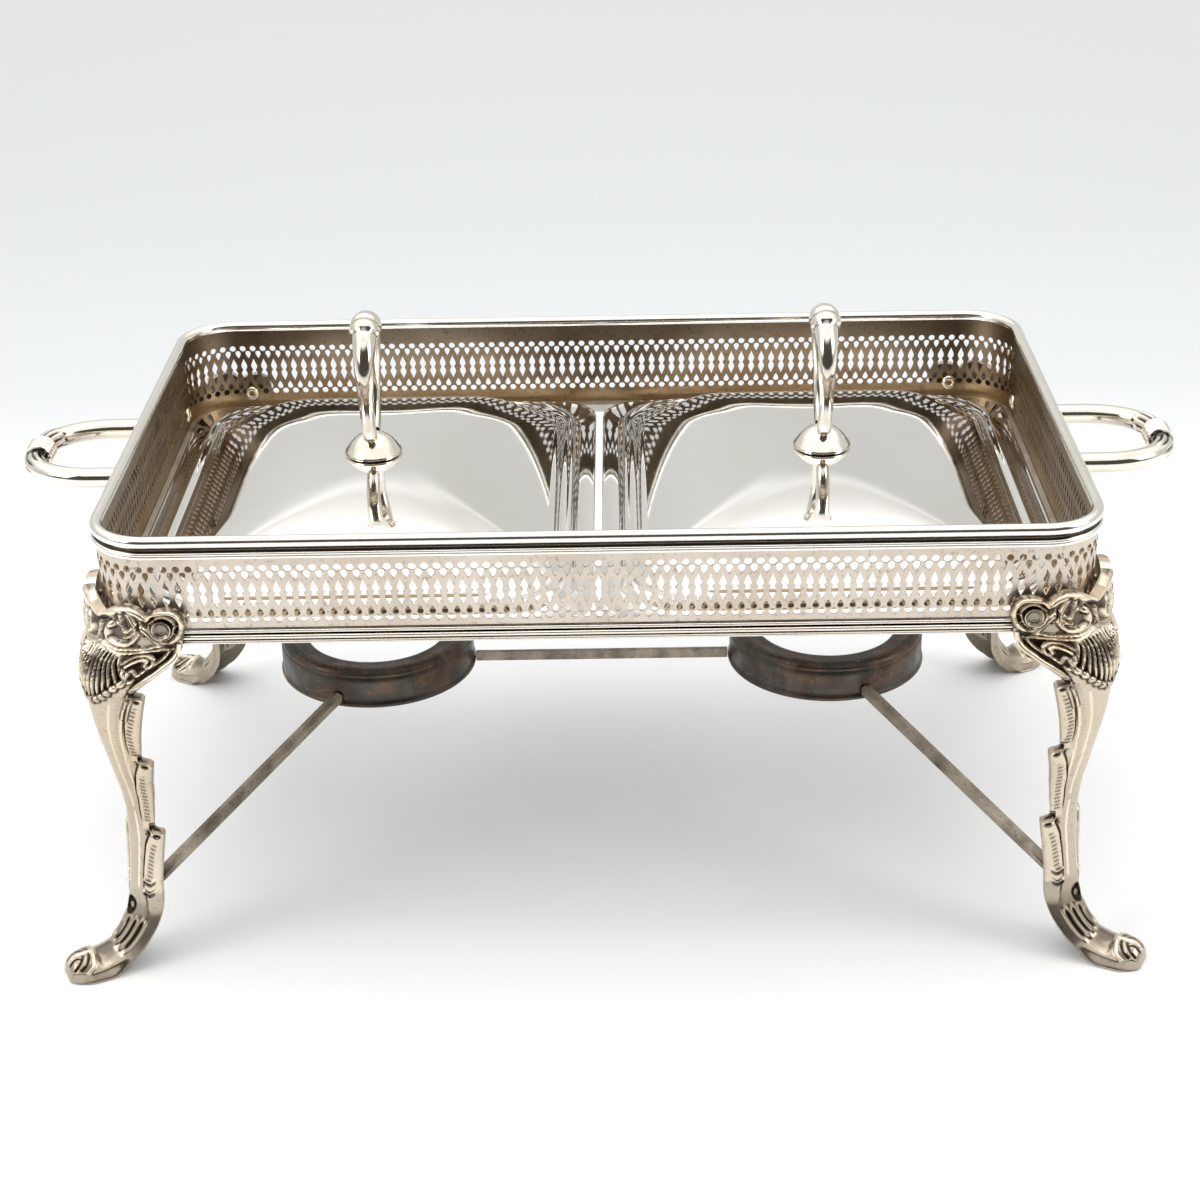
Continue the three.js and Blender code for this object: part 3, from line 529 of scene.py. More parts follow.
# %% [markdown]
# ## Covers
#
# Each cover is pressed from one sheet and polished to a mirror. From its edge inward it has a
# flat flange, a raised ridge, a hollow, a second ridge, and then a broad convex crown. The crown
# is flat across its middle and falls faster towards its foot, and its level lines turn from a
# rounded rectangle at the foot into an oval on top. A mirror shows every flaw in its shape, so
# the rings are close together.

# %% Rings of a cover
COVER_POINTS, FINE_STEPS = 160, 3600


def rounded_reach(direction, half_x, half_y, radius):
    """How far a ray from the centre runs to a rounded rectangle."""
    c, s = abs(direction[0]), abs(direction[1])
    if c > 1e-9 and s * half_x / c <= half_y - radius:
        return half_x / c
    if s > 1e-9 and c * half_y / s <= half_x - radius:
        return half_y / s
    inner = (half_x - radius, half_y - radius)
    along = c * inner[0] + s * inner[1]
    return along + math.sqrt(max(along * along - inner[0] ** 2 - inner[1] ** 2 + radius ** 2, 0))


def even_directions(half_x, half_y, radius, count):
    """Directions that meet a rounded rectangle at even distances."""
    dense = []
    for k in range(FINE_STEPS):
        d = (math.cos(math.tau * k / FINE_STEPS), math.sin(math.tau * k / FINE_STEPS))
        reach = rounded_reach(d, half_x, half_y, radius)
        dense.append((d[0] * reach, d[1] * reach))
    steps = [math.dist(dense[k - 1], dense[k]) for k in range(FINE_STEPS)]
    steps = steps[1:] + steps[:1]
    total, walked, found = sum(steps), 0, []
    for (x, y), step in zip(dense, steps):
        if walked >= total * len(found) / count and len(found) < count:
            found.append((x / math.hypot(x, y), y / math.hypot(x, y)))
        walked += step
    return found


def crown_fall(u, v):
    """The crown's fall as a share of the whole fall, at a place in shares of its half sizes."""
    along_x = (1 - CROWN_SOFTNESS) * u ** CROWN_POWER_X + CROWN_SOFTNESS * u ** 2
    along_y = (1 - CROWN_SOFTNESS) * v ** CROWN_POWER_Y + CROWN_SOFTNESS * v ** 2
    squareness = 0.9 + 5.1 * (along_x ** 4 + along_y ** 4) ** 0.25
    return (along_x ** squareness + along_y ** squareness) ** (1 / squareness)


CROWN_SOFTNESS, CROWN_POWER_X, CROWN_POWER_Y = 0.36, 3, 8
CROWN_RINGS = 34
DIRECTIONS = even_directions(100, 126, 30, COVER_POINTS)
FLANGE_STEPS = [(0, 0.9), (0.15, 1.35), (0.6, 1.6), (1.4, 1.5), (2.2, 1.25), (5, 1.25), (8.6, 1.3),
    (9.5, 1.7), (10.1, 2.8), (10.7, 4.4), (11.3, 5.7), (12.1, 6.6), (13, 6.9), (13.9, 6.6),
    (14.6, 6.1), (15.6, 5.7), (16.8, 5.6), (18, 5.9), (18.9, 6.6), (19.5, 7.5), (20.3, 8.4),
    (21.2, 8.9), (22.1, 9.1), (23, 9.2)]


def cover_rings(centre, lift=0, shrink=0):
    """Rings of a cover's upper face, from the edge in. lift and shrink give the lower face."""
    rings = []
    for inset, rise in FLANGE_STEPS:
        radius = min(24 + inset * 0.6, 40)
        half_x, half_y = LID_HALF_X - inset - shrink, LID_HALF_Y - inset - shrink
        reaches = [rounded_reach(d, half_x, half_y, radius) for d in DIRECTIONS]
        flat_ring = [(d[0] * reach, d[1] * reach) for d, reach in zip(DIRECTIONS, reaches)]
        rings.append([place(centre + x, y, LID_SEAT + max(rise + lift, 0)) for x, y in flat_ring])
    crown = LID_CROWN - LID_SEAT - FLANGE_STEPS[-1][1]
    for k in range(1, CROWN_RINGS + 1):
        left = 1 - 0.97 * (k / CROWN_RINGS) ** 1.35
        ring = []
        for x, y in flat_ring:
            u, v = abs(x) / half_x, abs(y) / half_y
            foot_fall = 1 - left ** 4 + left ** 4 / crown_fall(u, v)
            fall = crown * crown_fall(u * left, v * left) * foot_fall
            ring.append(place(centre + x * left, y * left, LID_CROWN - fall + lift))
        rings.append(ring)
    return rings


# %% Both covers
for side, sign in SIDES.items():
    centre = sign * LID_CENTRE
    upper = cover_rings(centre)
    lower = cover_rings(centre, lift=-1, shrink=0.25)
    bm = bmesh.new()
    drawn_out(bm, list(reversed(lower)) + upper)
    finish_piece("cover_" + side, bm, [cover_mirror], ["lid_" + side], "lid_" + side,
        sharp=60, film=0)

# %% [markdown]
# ## Cover handles
#
# A polished boss stands on each crown and an upright oval loop grows out of it. The loop is
# thin where it leaves the boss and thickens towards a ribbed collar at its top. The boss is
# spun, and the loop is a ring drawn out along an oval.

# %% Bosses and loops
LOOP_LOW, LOOP_TOP_LINE = LID_CROWN + 7, LID_CROWN + 69.2


def loop_path(centre):
    """The loop's centre line and radii, from one foot in the boss over the top to the other."""
    middle = (LOOP_LOW + LOOP_TOP_LINE) / 2
    half = (LOOP_TOP_LINE - LOOP_LOW) / 2
    path, sizes = [], []
    for k in range(121):
        angle = math.radians(-155 + 310 * k / 120)
        y = 19.0 * math.sin(angle) * (1 - 0.12 * max(0, -math.cos(angle)))
        z = middle + half * math.cos(angle)
        near = max(0, math.cos(angle))
        size = 3.3 + 2.7 * near ** 0.8 + 0.5 * abs(math.sin(angle))
        arc_mm = abs(math.degrees(angle)) * 0.33
        if arc_mm < 7.4:
            size = 6.6 + 1.35 * abs(math.cos(math.pi * arc_mm / 4.9)) ** 0.7
        path.append(place(centre, y, z))
        sizes.append(size)
    return path, sizes


for side, sign in SIDES.items():
    centre = sign * LID_CENTRE
    bm = bmesh.new()
    boss = [(0, -10.2), (2.9, -10.2), (2.9, 0.2), (14.2, 0.2), (14.9, 0.6), (15, 1.4), (14.5, 2.1),
        (13.6, 3.3), (12.2, 5.2), (10.3, 7.3), (8, 9.2), (5.2, 10.6), (2.4, 11.3), (0, 11.5)]
    turned(bm, raised(boss, LID_CROWN), 56, (centre, 0, 0))
    finish_piece("boss_" + side, bm, [handle_silver], ["lid_button_" + side], "lid_" + side,
        sharp=45)
    bm = bmesh.new()
    path, sizes = loop_path(centre)
    drawn_out(bm, rod_rings(path, sizes, (1, 0, 0), 32))
    finish_piece("loop_" + side, bm, [handle_silver], ["lid_loop_" + side], "lid_" + side, sharp=50)

# %% [markdown]
# ## Side handles
#
# Each end has a level cast loop, let into the frame under the rim. A ribbed collar sits in the
# middle, and a short fluted length leads into it on both sides. The loop is a ring of points
# drawn out along a bent path.

# %% Side handles
def handle_stations(sign):
    """Centre line, radii and depth of fluting of a side handle, from one arm to the other."""
    start, reach, half, bend_x, bend_y = 238.3, 292.5, 33, 34, 25.0
    points = [(start + (reach - bend_x - start) * k / 7, -half) for k in range(8)]
    for angle in (math.pi / 2 * k / 21 for k in range(1, 22)):
        x = reach - bend_x + bend_x * math.sin(angle)
        points.append((x, -half + bend_y * (1 - math.cos(angle))))
    points += [(reach, -half + bend_y + (half - bend_y) * k / 36) for k in range(1, 37)]
    stations = []
    for x, y in points + [(x, -y) for x, y in reversed(points[:-1])]:
        size, flute = 5.3, 0.0
        if abs(y) < 7.2:
            size = 6.1 + 1.2 * (0.5 + 0.5 * math.cos(math.tau * y / 3.6)) ** 0.6
        elif abs(y) < 22 and x > start + 20:
            size = 5.5
            flute = 0.085 * math.sin(math.pi * min(1, (22 - abs(y)) / 14.8)) ** 0.6
        size += 0.8 * (x <= start + 1)
        stations.append((place(sign * x, y, HANDLE_LEVEL), size, flute))
    return stations


for side, sign in SIDES.items():
    path, sizes, flutes = zip(*handle_stations(sign))
    bm = bmesh.new()
    drawn_out(bm, rod_rings(path, sizes, (0, 0, 1), 54, flutes))
    finish_piece("grip_" + side, bm, [handle_silver], ["handle_" + side], sharp=50, film=5)

# %% [markdown]
# ## Burner holder
#
# Two short rings of heat-stained metal hold the burners. Each has a rolled lower edge, a plain
# wall, a rounded shoulder and a flange turned in round its hole. They are spun.

# %% Burner rings
ring_profile = [(50.7, 0), (52.6, 0), (53, 0.4), (53.1, 1.2), (52.8, 2.1), (52.3, 2.6), (52.2, 6),
    (52.2, 12), (52.2, 16.6), (51.7, 17.1), (51.9, 17.8), (51.4, 18.9), (50.4, 20.1), (49, 20.9),
    (47.4, 21.3), (46, 21.1), (45.2, 20.4), (44.6, 20.2), (40, 19.9), (38.6, 19.9), (37.7, 19.4),
    (37.5, 18.6), (38, 18.2), (44.8, 18.7), (47.2, 18.7), (49.4, 18.2), (50.5, 16.9), (50.7, 15.2),
    (50.7, 0)]
for side, sign in SIDES.items():
    bm = bmesh.new()
    turned(bm, raised(ring_profile, BURNER_BOTTOM), 112, (sign * BURNER_X, 0, 0))
    finish_piece("burner_" + side, bm, [burner_heat], ["burner_ring_" + side],
        sharp=50)

# %% The nodes that keep their CAD shape get their own finishes
kept_nodes = {"centre_bar": strut_dull}
for corner in CORNERS:
    kept_nodes |= {"strut_" + corner: strut_dull, "strut_screw_" + corner: strut_dull}
for side in SIDES:
    kept_nodes |= {"lid_washer_" + side: ledge_dull, "lid_nut_" + side: ledge_dull}
for name, skin in kept_nodes.items():
    for slot_of_node in bpy.data.objects[name].material_slots:
        slot_of_node.material = skin
print("CAD nodes with a finish of their own:", len(kept_nodes))

# %% [markdown]
# ## Cast legs
#
# A cabriole leg is the busiest piece: a scroll-edged knee that wraps the frame's corner, a fan
# of ribs on the corner edge, an S-shaped shank with three quill-like sheaths down each side, and
# a foot that turns out. It is open at the back. The leg is a flat grid that is laid over the
# leg's curved section, and the carving is a height that each grid point is raised by. Places on
# the surface are given by the distance over it from the corner edge and by the height.

# %% Shape of a leg, station by station
FOOT_TURN, FOOT_PIVOT = 18, 5.3
LEG_STATIONS = np.array([
    # out from the frame's corner
    [4.8, 4.8, 6, 6, 12, 16.2, 15.4, 13.3, 8.2, 3.4, 3.2, 5.3, 8.4, 12.6, 19, 27, 35, 41, 44, 45],
    # up from the floor
    [206, 199, 190, 181, 174, 165, 153, 136, 113, 91, 69, 49, 35, 24.5, 16, 12, 11, 9.8, 6.6, 2.4],
    # radius of the nose, and half the angle that the nose turns through
    [35.8, 35.8, 37, 37, 30, 22, 15, 12, 10, 9, 9, 9, 9, 9, 10, 12, 13, 12, 9, 6],
    [45] * 14 + [42, 40, 42, 42, 45, 45],
    # lean of the section, share of the foot's turn, thickness of the metal
    [0] * 11 + [4, 12, 28, 50, 72, 84, 88, 90, 90],
    [0] * 13 + [0.6] + [1] * 6,
    [3.6, 4, 5, 5, 5.2, 5, 4.6] + [4] * 2 + [3.8] * 5 + [4.2, 5, 5, 5, 4, 2],
]).T
NOSE_COLUMN, METAL_COLUMN = 2, 6


def smooth_rows(table, rows):
    """Stations read along the leg's own length, with smooth steps between them."""
    path = np.cumsum(np.r_[0, np.hypot(np.diff(table[:, 0]), np.diff(table[:, 1]))])
    walk = np.linspace(0, path[-1], rows)
    slopes = np.gradient(table, path, axis=0)
    i = np.clip(np.searchsorted(path, walk) - 1, 0, len(path) - 2)
    step = path[i + 1] - path[i]
    t = ((walk - path[i]) / step)[:, None]
    a, b, ma, mb = table[i], table[i + 1], slopes[i] * step[:, None], slopes[i + 1] * step[:, None]
    from_a = (2 * t**3 - 3 * t**2 + 1) * a + (t**3 - 2 * t**2 + t) * ma
    from_b = (3 * t**2 - 2 * t**3) * b + (t**3 - t**2) * mb
    steady = (np.abs(b - a) < 1e-9) | (np.arange(len(table.T)) == NOSE_COLUMN)
    return np.where(steady, a + (b - a) * t, from_a + from_b)


ROWS, HALF_COLUMNS = 460, 80
COLUMNS = 2 * HALF_COLUMNS + 1
leg_rows = smooth_rows(LEG_STATIONS, ROWS)
print("leg grid:", ROWS, "rows by", COLUMNS, "columns")

# %% [markdown]
# The side edges of the leg aren't straight: the knee sweeps in to the shank, and each sheath
# stands out with a notch above it. They are given as the distance over the surface from the
# corner edge to the side edge. The top edge follows the scrolls.

# %% Side edges and top edge
SIDE_EDGE = [(206, 43.5), (198, 44.3), (192.4, 43.7), (186.8, 42.9), (181.8, 42.4), (177.2, 41.9),
    (173.1, 39.9), (168.9, 35.8), (165.7, 31.9), (162.4, 27.6), (159.8, 24.6), (158.4, 22.9),
    (157.3, 22.9), (156.7, 26.2), (155, 27.2), (153.1, 26.6), (145, 23.9), (132.7, 20), (122, 16.8),
    (118.6, 15.8), (117.6, 16.2), (117, 19.4), (115.2, 20.7), (113.3, 20.2), (102.6, 16.6),
    (89.6, 13.6), (78.9, 12.2), (76, 12.2), (75.2, 12.8), (74.6, 16), (73.4, 17.1), (71.6, 17),
    (60, 15.7), (48.4, 15.2), (39.2, 16.4), (33.7, 17.2), (26.7, 17), (20.8, 16.5)]
FOOT_EDGE = [(12.6, 17), (19, 16.3), (27, 15.6), (35, 15.5), (39, 13.6), (42, 11), (44, 8.6),
    (45, 6.5)]
TOP_EDGE = [(0, 196.3), (2.1, 197.6), (7.7, 200.9), (14.5, 203.2), (18.5, 203.4), (22.6, 201.7),
    (25.3, 199.4), (26.3, 197.9), (27.6, 199.3), (31.1, 201.2), (35.7, 201.8), (39.5, 201.2),
    (42, 199.6), (43.5, 197.5)]


def read_off(points, where):
    """Read a list of (place, value) pairs at many places."""
    xs, ys = np.array(sorted(points)).T
    return np.interp(where, xs, ys)


def smoothly(value, low, high):
    """A soft step from 0 at low to 1 at high."""
    t = np.clip((value - low) / (high - low), 0, 1)
    return t * t * (3 - 2 * t)


def within(value, outer_low, low, high, outer_high):
    """A soft step up from 0 to 1 at low, and down again from 1 at high."""
    return smoothly(value, outer_low, low) * (1 - smoothly(value, high, outer_high))


leg_out, leg_up = leg_rows[:, 0], leg_rows[:, 1]
foot_share = smoothly(leg_out, 13, 20) * (leg_up < 60)
leg_reach = read_off(SIDE_EDGE, leg_up) * (1 - foot_share)
leg_reach += read_off(FOOT_EDGE, leg_out) * foot_share
OVER = leg_reach[:, None] * np.linspace(0, 1, HALF_COLUMNS + 1)[None, :]
KNEE_FOOT = 179.0
lifted = (read_off(TOP_EDGE, OVER) - KNEE_FOOT) / (LEG_STATIONS[0, 1] - KNEE_FOOT)
above = np.maximum(leg_up - KNEE_FOOT, 0)[:, None]
UP = np.minimum(leg_up, KNEE_FOOT)[:, None] + above * lifted
OUT, REACH = leg_out[:, None] + 0 * OVER, leg_reach[:, None] + 0 * OVER
print("leg reach:", round(float(leg_reach.min()), 1), "to", round(float(leg_reach.max()), 1), "mm")

# %% [markdown]
# Carving is built from a few strokes. A ridge is a round swelling along a drawn line, a cut is a
# groove along one, and a boss is a round swelling at a point. Each stroke changes two maps: the
# height, and the film, which is the dark finish left where polishing doesn't reach.

# %% Strokes of carving
RIDGE_STEPS, CUT_STEPS = 48, 32


def smooth_line(points, count):
    """A smooth line through a few points."""
    p = np.array(points, float)
    t = np.linspace(0, len(p) - 1, count)
    i = np.clip(t.astype(int), 0, len(p) - 2)
    u = (t - i)[:, None]
    before, after = p[np.clip(i - 1, 0, None)], p[np.clip(i + 2, None, len(p) - 1)]
    a, b = p[i], p[i + 1]
    curve = 2 * a + (b - before) * u + (2 * before - 5 * a + 4 * b - after) * u**2
    return 0.5 * (curve + (3 * a - before - 3 * b + after) * u**3)


def nearest(line, x, y):
    """Least distance from each point to a line, and the share along the line where that is."""
    best, where = np.full(x.shape, 1e9), np.zeros(x.shape)
    for k, ((ax, ay), (bx, by)) in enumerate(zip(line[:-1], line[1:])):
        dx, dy = bx - ax, by - ay
        t = np.clip(((x - ax) * dx + (y - ay) * dy) / (dx * dx + dy * dy + 1e-12), 0, 1)
        d = np.hypot(x - ax - t * dx, y - ay - t * dy)
        closer = d < best
        best = np.where(closer, d, best)
        where = np.where(closer, (k + t) / (len(line) - 1), where)
    return best, where


def changing(value, where):
    """A value that may be a pair, which then runs from its first to its second along a line."""
    start, end = value if isinstance(value, tuple) else (value, value)
    return start + (end - start) * where


class Carving:
    """A height map and a film map over one stretch of the leg."""

    def __init__(self, rows, x, y):
        self.rows, self.x, self.y = rows, x[rows], y[rows]
        self.height = np.zeros(self.x.shape)
        self.film = np.zeros(self.x.shape)

    def darken(self, film):
        """Lay a film wherever there is less of it."""
        self.film = np.maximum(self.film, film)

    def profile(self, points, half_width, count):
        """How near each point is to a line, from 1 on it to 0 at its half width."""
        d, where = nearest(smooth_line(points, count), self.x, self.y)
        width = changing(half_width, where)
        return np.sqrt(np.clip(1 - (d / width) ** 2, 0, 1)), d - width, where

    def ridge(self, points, half_width, height, shade=0.85, base=0):
        """Raise a round ridge, with dark ground close beside it."""
        near, beside, where = self.profile(points, half_width, RIDGE_STEPS)
        tall = base + changing(height, where) * near
        raised_here = (near > 0) & (tall > self.height)
        self.darken(shade * (1 - smoothly(beside, 0.1, 1.1)))
        self.film = np.where(raised_here, 0, self.film)
        self.height = np.where(raised_here, tall, self.height)

    def cut(self, points, half_width, depth, shade=1):
        """Sink a groove along a line."""
        near = self.profile(points, half_width, CUT_STEPS)[0]
        self.height = self.height - depth * near
        self.darken(shade * smoothly(near, 0.15, 0.7))

    def boss(self, x, y, radius, height):
        """Raise a round swelling at a point."""
        d = np.hypot(self.x - x, self.y - y) / radius
        tall = height * np.sqrt(np.clip(1 - d * d, 0, 1))
        self.darken(0.95 * (1 - smoothly((d - 1) * radius, 0.2, 1.4)))
        self.film = np.where(d < 1, 0, self.film)
        self.height = np.where(d < 1, np.maximum(self.height, tall), self.height)


# %% The knee: ground, corner scroll and the loop round the rivet
knee = Carving(leg_up > 144, OVER, UP)
x, y = knee.x, knee.y
scrolls = smoothly(y, 181, 183)
knee.height = -scrolls
knee.film = 0.66 * scrolls
panel = within(y, 160, 166, 180.6, 181.6) * smoothly(x, 13, 16)
knee.height -= 0.9 * panel
knee.darken(0.76 * panel)
facet = np.hypot((x - 25.6) / 5.4, (y - 185.9) / 2.9) < 1
knee.film = np.where(facet, 0.44, knee.film)
knee.height = np.where(facet, -0.5, knee.height)

knee.ridge([(0, 193.6), (3.4, 197), (8, 198.8), (13.4, 200.7), (18.3, 201.2), (22.2, 200),
    (24.8, 197.9)], (2.5, 1.5), 2)
knee.ridge([(16.8, 200.2), (19, 196.6), (20.8, 193.5), (21.2, 190.9), (19.5, 188.8), (17, 187.5),
    (15, 187.4)], (1.1, 0.6), 1.5)
knee.ridge([(13.2, 199), (13.6, 196.3), (15, 192.7), (15.8, 190.6), (17.4, 190.2), (19.4, 192.1)],
    (1, 0.55), 1.5)
knee.ridge([(2.1, 194.7), (6.1, 196.7), (8.9, 196.1), (11.1, 194.5), (13.4, 193.6)], 0.55, 1.6)
knee.ridge([(8.3, 193.4), (6.4, 191.3), (5.7, 188.2), (6.8, 185.4), (9.6, 183.9), (13.8, 183.4),
    (17.6, 184.3), (21.1, 187), (23.3, 190.2), (23.8, 193.4)], (1.7, 0.95), 2.1)
knee.boss(8.6, 193, 2, 2)
knee.ridge([(26.6, 197), (28.4, 199.4), (31.1, 200.1), (35.3, 200.6), (38.8, 200), (41.2, 197.9),
    (42.4, 194.9), (42.5, 191.7), (41.7, 188.3), (39.4, 185.9), (35.6, 184.6), (31.8, 185.8),
    (28.6, 188.7), (26, 191), (23.8, 193.6)], 1.15, 1.9)
knee.ridge([(27.2, 194.8), (29.6, 196.6), (32.6, 198), (35.6, 197.9), (37.9, 196.4), (39.3, 193.9),
    (39.3, 191.3), (38.4, 188.9), (36.3, 187.2), (33.4, 186.9), (30.6, 188.1), (28.6, 190.2),
    (26.9, 192.5)], 0.55, 1.5)
knee.ridge([(42.5, 185.6), (34.9, 184), (30.3, 183.2), (22.7, 182), (14.2, 180.7), (9.6, 180.6),
    (5.1, 181.6), (1.9, 184), (0.3, 187.5), (0, 191.5), (0.6, 194.2)], 0.6, 1.5)
knee.ridge([(40.5, 182.6), (34.6, 181.9), (25.6, 180.8), (17, 179.3), (11.1, 179), (5.3, 179.9),
    (0.7, 181.8)], 0.6, 1.3, shade=0.7)

# %% The knee: apron, leaves and the fan
knee.ridge([(42.1, 185), (41.2, 180.1), (40, 176.4), (37.1, 172.8), (33.2, 169), (29, 165.7),
    (24, 161.4), (19.4, 153.9), (15.8, 145.8), (13.6, 139)], 1.7, 1.3, shade=0.95)
knee.ridge([(36.9, 180.4), (35.4, 177), (32.4, 174.2), (29.2, 172), (25.8, 168.7)], 0.6, 0.9)
knee.ridge([(17.4, 174.9), (19.9, 177.1), (22.5, 178.4), (26.5, 178.8), (30, 177.4), (31.6, 175.6),
    (31.3, 173.9), (29, 173.4)], 0.6, 1.2)
knee.ridge([(19.1, 173.6), (21.5, 175.4), (24.4, 176.7), (27.1, 176.6), (28.6, 175.6),
    (28.1, 174.3)], 0.8, 1.2)
knee.ridge([(18.7, 172.3), (20, 169.7), (21.4, 168.5), (21.5, 171.1), (22.6, 171.9), (24.3, 170.7),
    (25.5, 169.1)], 0.6, 1.1)

FAN_LEVELS = (178.6, 175, 171, 166)
FAN_RIBS = [(0, 0, 0, 0), (2.7, 2.6, 2.8, 3.1), (5.2, 5, 5.5, 6.2), (7.7, 7.6, 8.4, 9.4),
    (10.1, 10, 11.1, 12.4), (12, 12.3, 13.9, 16), (13.4, 15.2, 17.3, 21.2)]
RIB_ENDS = [(0, 153.6), (2.8, 154.4), (5.9, 155.8), (9.2, 157.8), (12.9, 160.6), (16.8, 163.4),
    (24.3, 166.6)]
TOES = [(1.4, 153.2), (4.3, 154.2), (7.6, 156), (11.1, 158.6), (14.9, 161.4), (18.6, 163.8)]
outer_rib = read_off(list(zip(FAN_LEVELS, FAN_RIBS[-1])) + [(160, 24)], y)
fan_edge = read_off([(tip_x, tip_y + 2) for tip_x, tip_y in TOES] + [(24, 168)], x)
in_fan = within(y, fan_edge - 0.4, fan_edge + 0.4, 177.9, 178.7) * (x < outer_rib + 0.4)
knee.height -= 1.2 * in_fan
knee.darken(in_fan)
for rib, rib_end in zip(FAN_RIBS, RIB_ENDS):
    knee.ridge(list(zip(rib, FAN_LEVELS)) + [rib_end], (0.6, 0.8), (0.6, 1.1), shade=0)
for tip_x, tip_y in TOES:
    knee.boss(tip_x, tip_y + 1, 1.9, 1.5)

# %% [markdown]
# Below the knee the corner edge is a smooth spine between two ladders of small bars. Each sheath
# is a round quill with a slit in its top end, a row of stitched bars down its middle and a crisp
# dark line along its inner side. It stands proudest at the top and sinks into the shank below.

# %% The shank: spine, ladders and sheaths
shank = Carving((leg_up < 168) & (leg_up > 24), OVER, UP)
x, y = shank.x, shank.y
reach = REACH[shank.rows]
below_fan = 1 - smoothly(y, 152, 158)


def past_line(points):
    """How far each point lies past a line that is drawn from the top down."""
    return x - read_off([(height, over) for over, height in points], y)


def bars(points, pitch, length, slant, strength, depth):
    """Stitch a row of small dark bars along a line."""
    top, bottom = points[0][1], points[-1][1]
    past = past_line(points)
    band = np.clip(1 - (past / (length / 2)) ** 4, 0, 1) ** 0.5
    band *= within(y, bottom, bottom + 2, top - 2, top)
    wave = 0.5 + 0.5 * np.cos(math.tau * (y + slant * past) / pitch)
    shank.height -= depth * band * wave
    shank.darken(strength * band * smoothly(wave, 0.45, 0.85))


def sheath(top, bottom, inner_line, proud):
    """Raise one quill-like sheath along the side edge."""
    past = past_line(inner_line)
    t = past / np.maximum(reach - x + past, 1)
    edge = top - 1.6 * (2 * t - 1) ** 2
    on = (t > 0) & (y < edge) & (y > bottom)
    fade = smoothly(y, bottom, top - 6)
    round_over = np.sqrt(np.clip(1 - (2 * t - 1) ** 2, 0, 1))
    cap = np.sqrt(np.clip((edge - y) / 1.8, 0, 1))
    body = proud * (0.25 + 0.75 * fade) + (0.7 + 0.9 * fade) * round_over
    body *= cap * smoothly(y, bottom, bottom + 9)
    shank.height = np.where(on, np.maximum(shank.height, body), shank.height)
    shank.film = np.where(on, 0.22, shank.film)
    line = ~on * (y < top - 1) * smoothly(y, bottom, bottom + 8)
    line *= np.exp(-((past + 0.35) / 0.5) ** 2)
    shank.height -= 0.45 * line
    shank.darken(0.9 * line)
    slit = np.hypot((t - 0.55) / 0.3, (y - (top - 2.7) + 1.2 * (t - 0.55)) / 0.8)
    shank.height -= 1.6 * np.clip(1 - slit, 0, 1) ** 0.5
    shank.darken(1 - smoothly(slit, 0.6, 1.15))
    notch = (t > -0.25) & (y > edge) & (y < top + 3.2)
    shank.height -= 0.9 * notch
    shank.darken(notch * (1 - smoothly(y - top, 1, 3.2)))


shank.film += 0.3 + 0.06 * (1 - smoothly(y, 80, 120))
shank.height += 0.55 * below_fan * np.exp(-(x / (2 + 0.022 * y)) ** 4)
shank.ridge([(16, 150), (11.5, 135.2), (9.6, 122.8), (8.6, 110.3), (7.6, 98)], 0.8, 0.7, shade=0.25)
shank.ridge([(9.8, 152.2), (6.5, 139.4), (4.8, 126.4), (4, 113.9), (3.8, 101.4), (3.8, 90)], 0.5,
    0.4, shade=0.3)
bars([(13.4, 150), (9.4, 135.2), (7.6, 122.8), (6.4, 110.3), (5.6, 98)], 1.9, 2.6, 0.2, 0.45, 0.25)
bars([(21.5, 159.5), (18.5, 157.5), (15.2, 154.4), (13, 148)], 1.9, 3, 0.5, 0.5, 0.3)
sheath(158.1, 118, [(21.5, 157), (18.9, 152.2), (16.2, 145.2), (14.4, 139.1), (12.4, 128.6),
    (11.4, 118.5)], 1.6)
sheath(118.6, 77, [(15, 117.7), (13.3, 114.5), (11.2, 110.3), (8.2, 100.5), (6.9, 88), (7, 77)],
    1.6)
sheath(76, 30, [(10.4, 74.7), (7.9, 67.8), (6.7, 58.5), (6.4, 50.9), (6.8, 43.9), (9, 36),
    (12, 30)], 1.5)
bars([(22.6, 153), (18.8, 143.5), (15.6, 135.2), (14.4, 126.7), (14, 119.5)], 2.3, 3.4, 0.35, 0.85,
    0.5)
bars([(14.6, 111), (12.2, 102), (10.6, 92), (9.4, 79)], 2.2, 3.2, 0.35, 0.8, 0.45)
bars([(12.4, 70), (10.4, 61), (9.6, 52), (9.4, 47)], 2.2, 3.4, 0.45, 0.8, 0.45)
shank.ridge([(3.6, 86), (4.4, 72), (3.8, 58), (3.8, 44)], 0.6, 0.5, shade=0.45)
for leaf_up in (47.5, 41.5):
    shank.cut([(7, leaf_up - 0.6), (9.8, leaf_up - 1.8), (12.4, leaf_up - 0.2)], (0.8, 0.3), 0.9,
        shade=0.8)
    shank.ridge([(6.8, leaf_up + 1), (9.8, leaf_up - 0.4), (12.6, leaf_up + 1.6)], (0.9, 0.4), 1.6,
        shade=0, base=0.6)

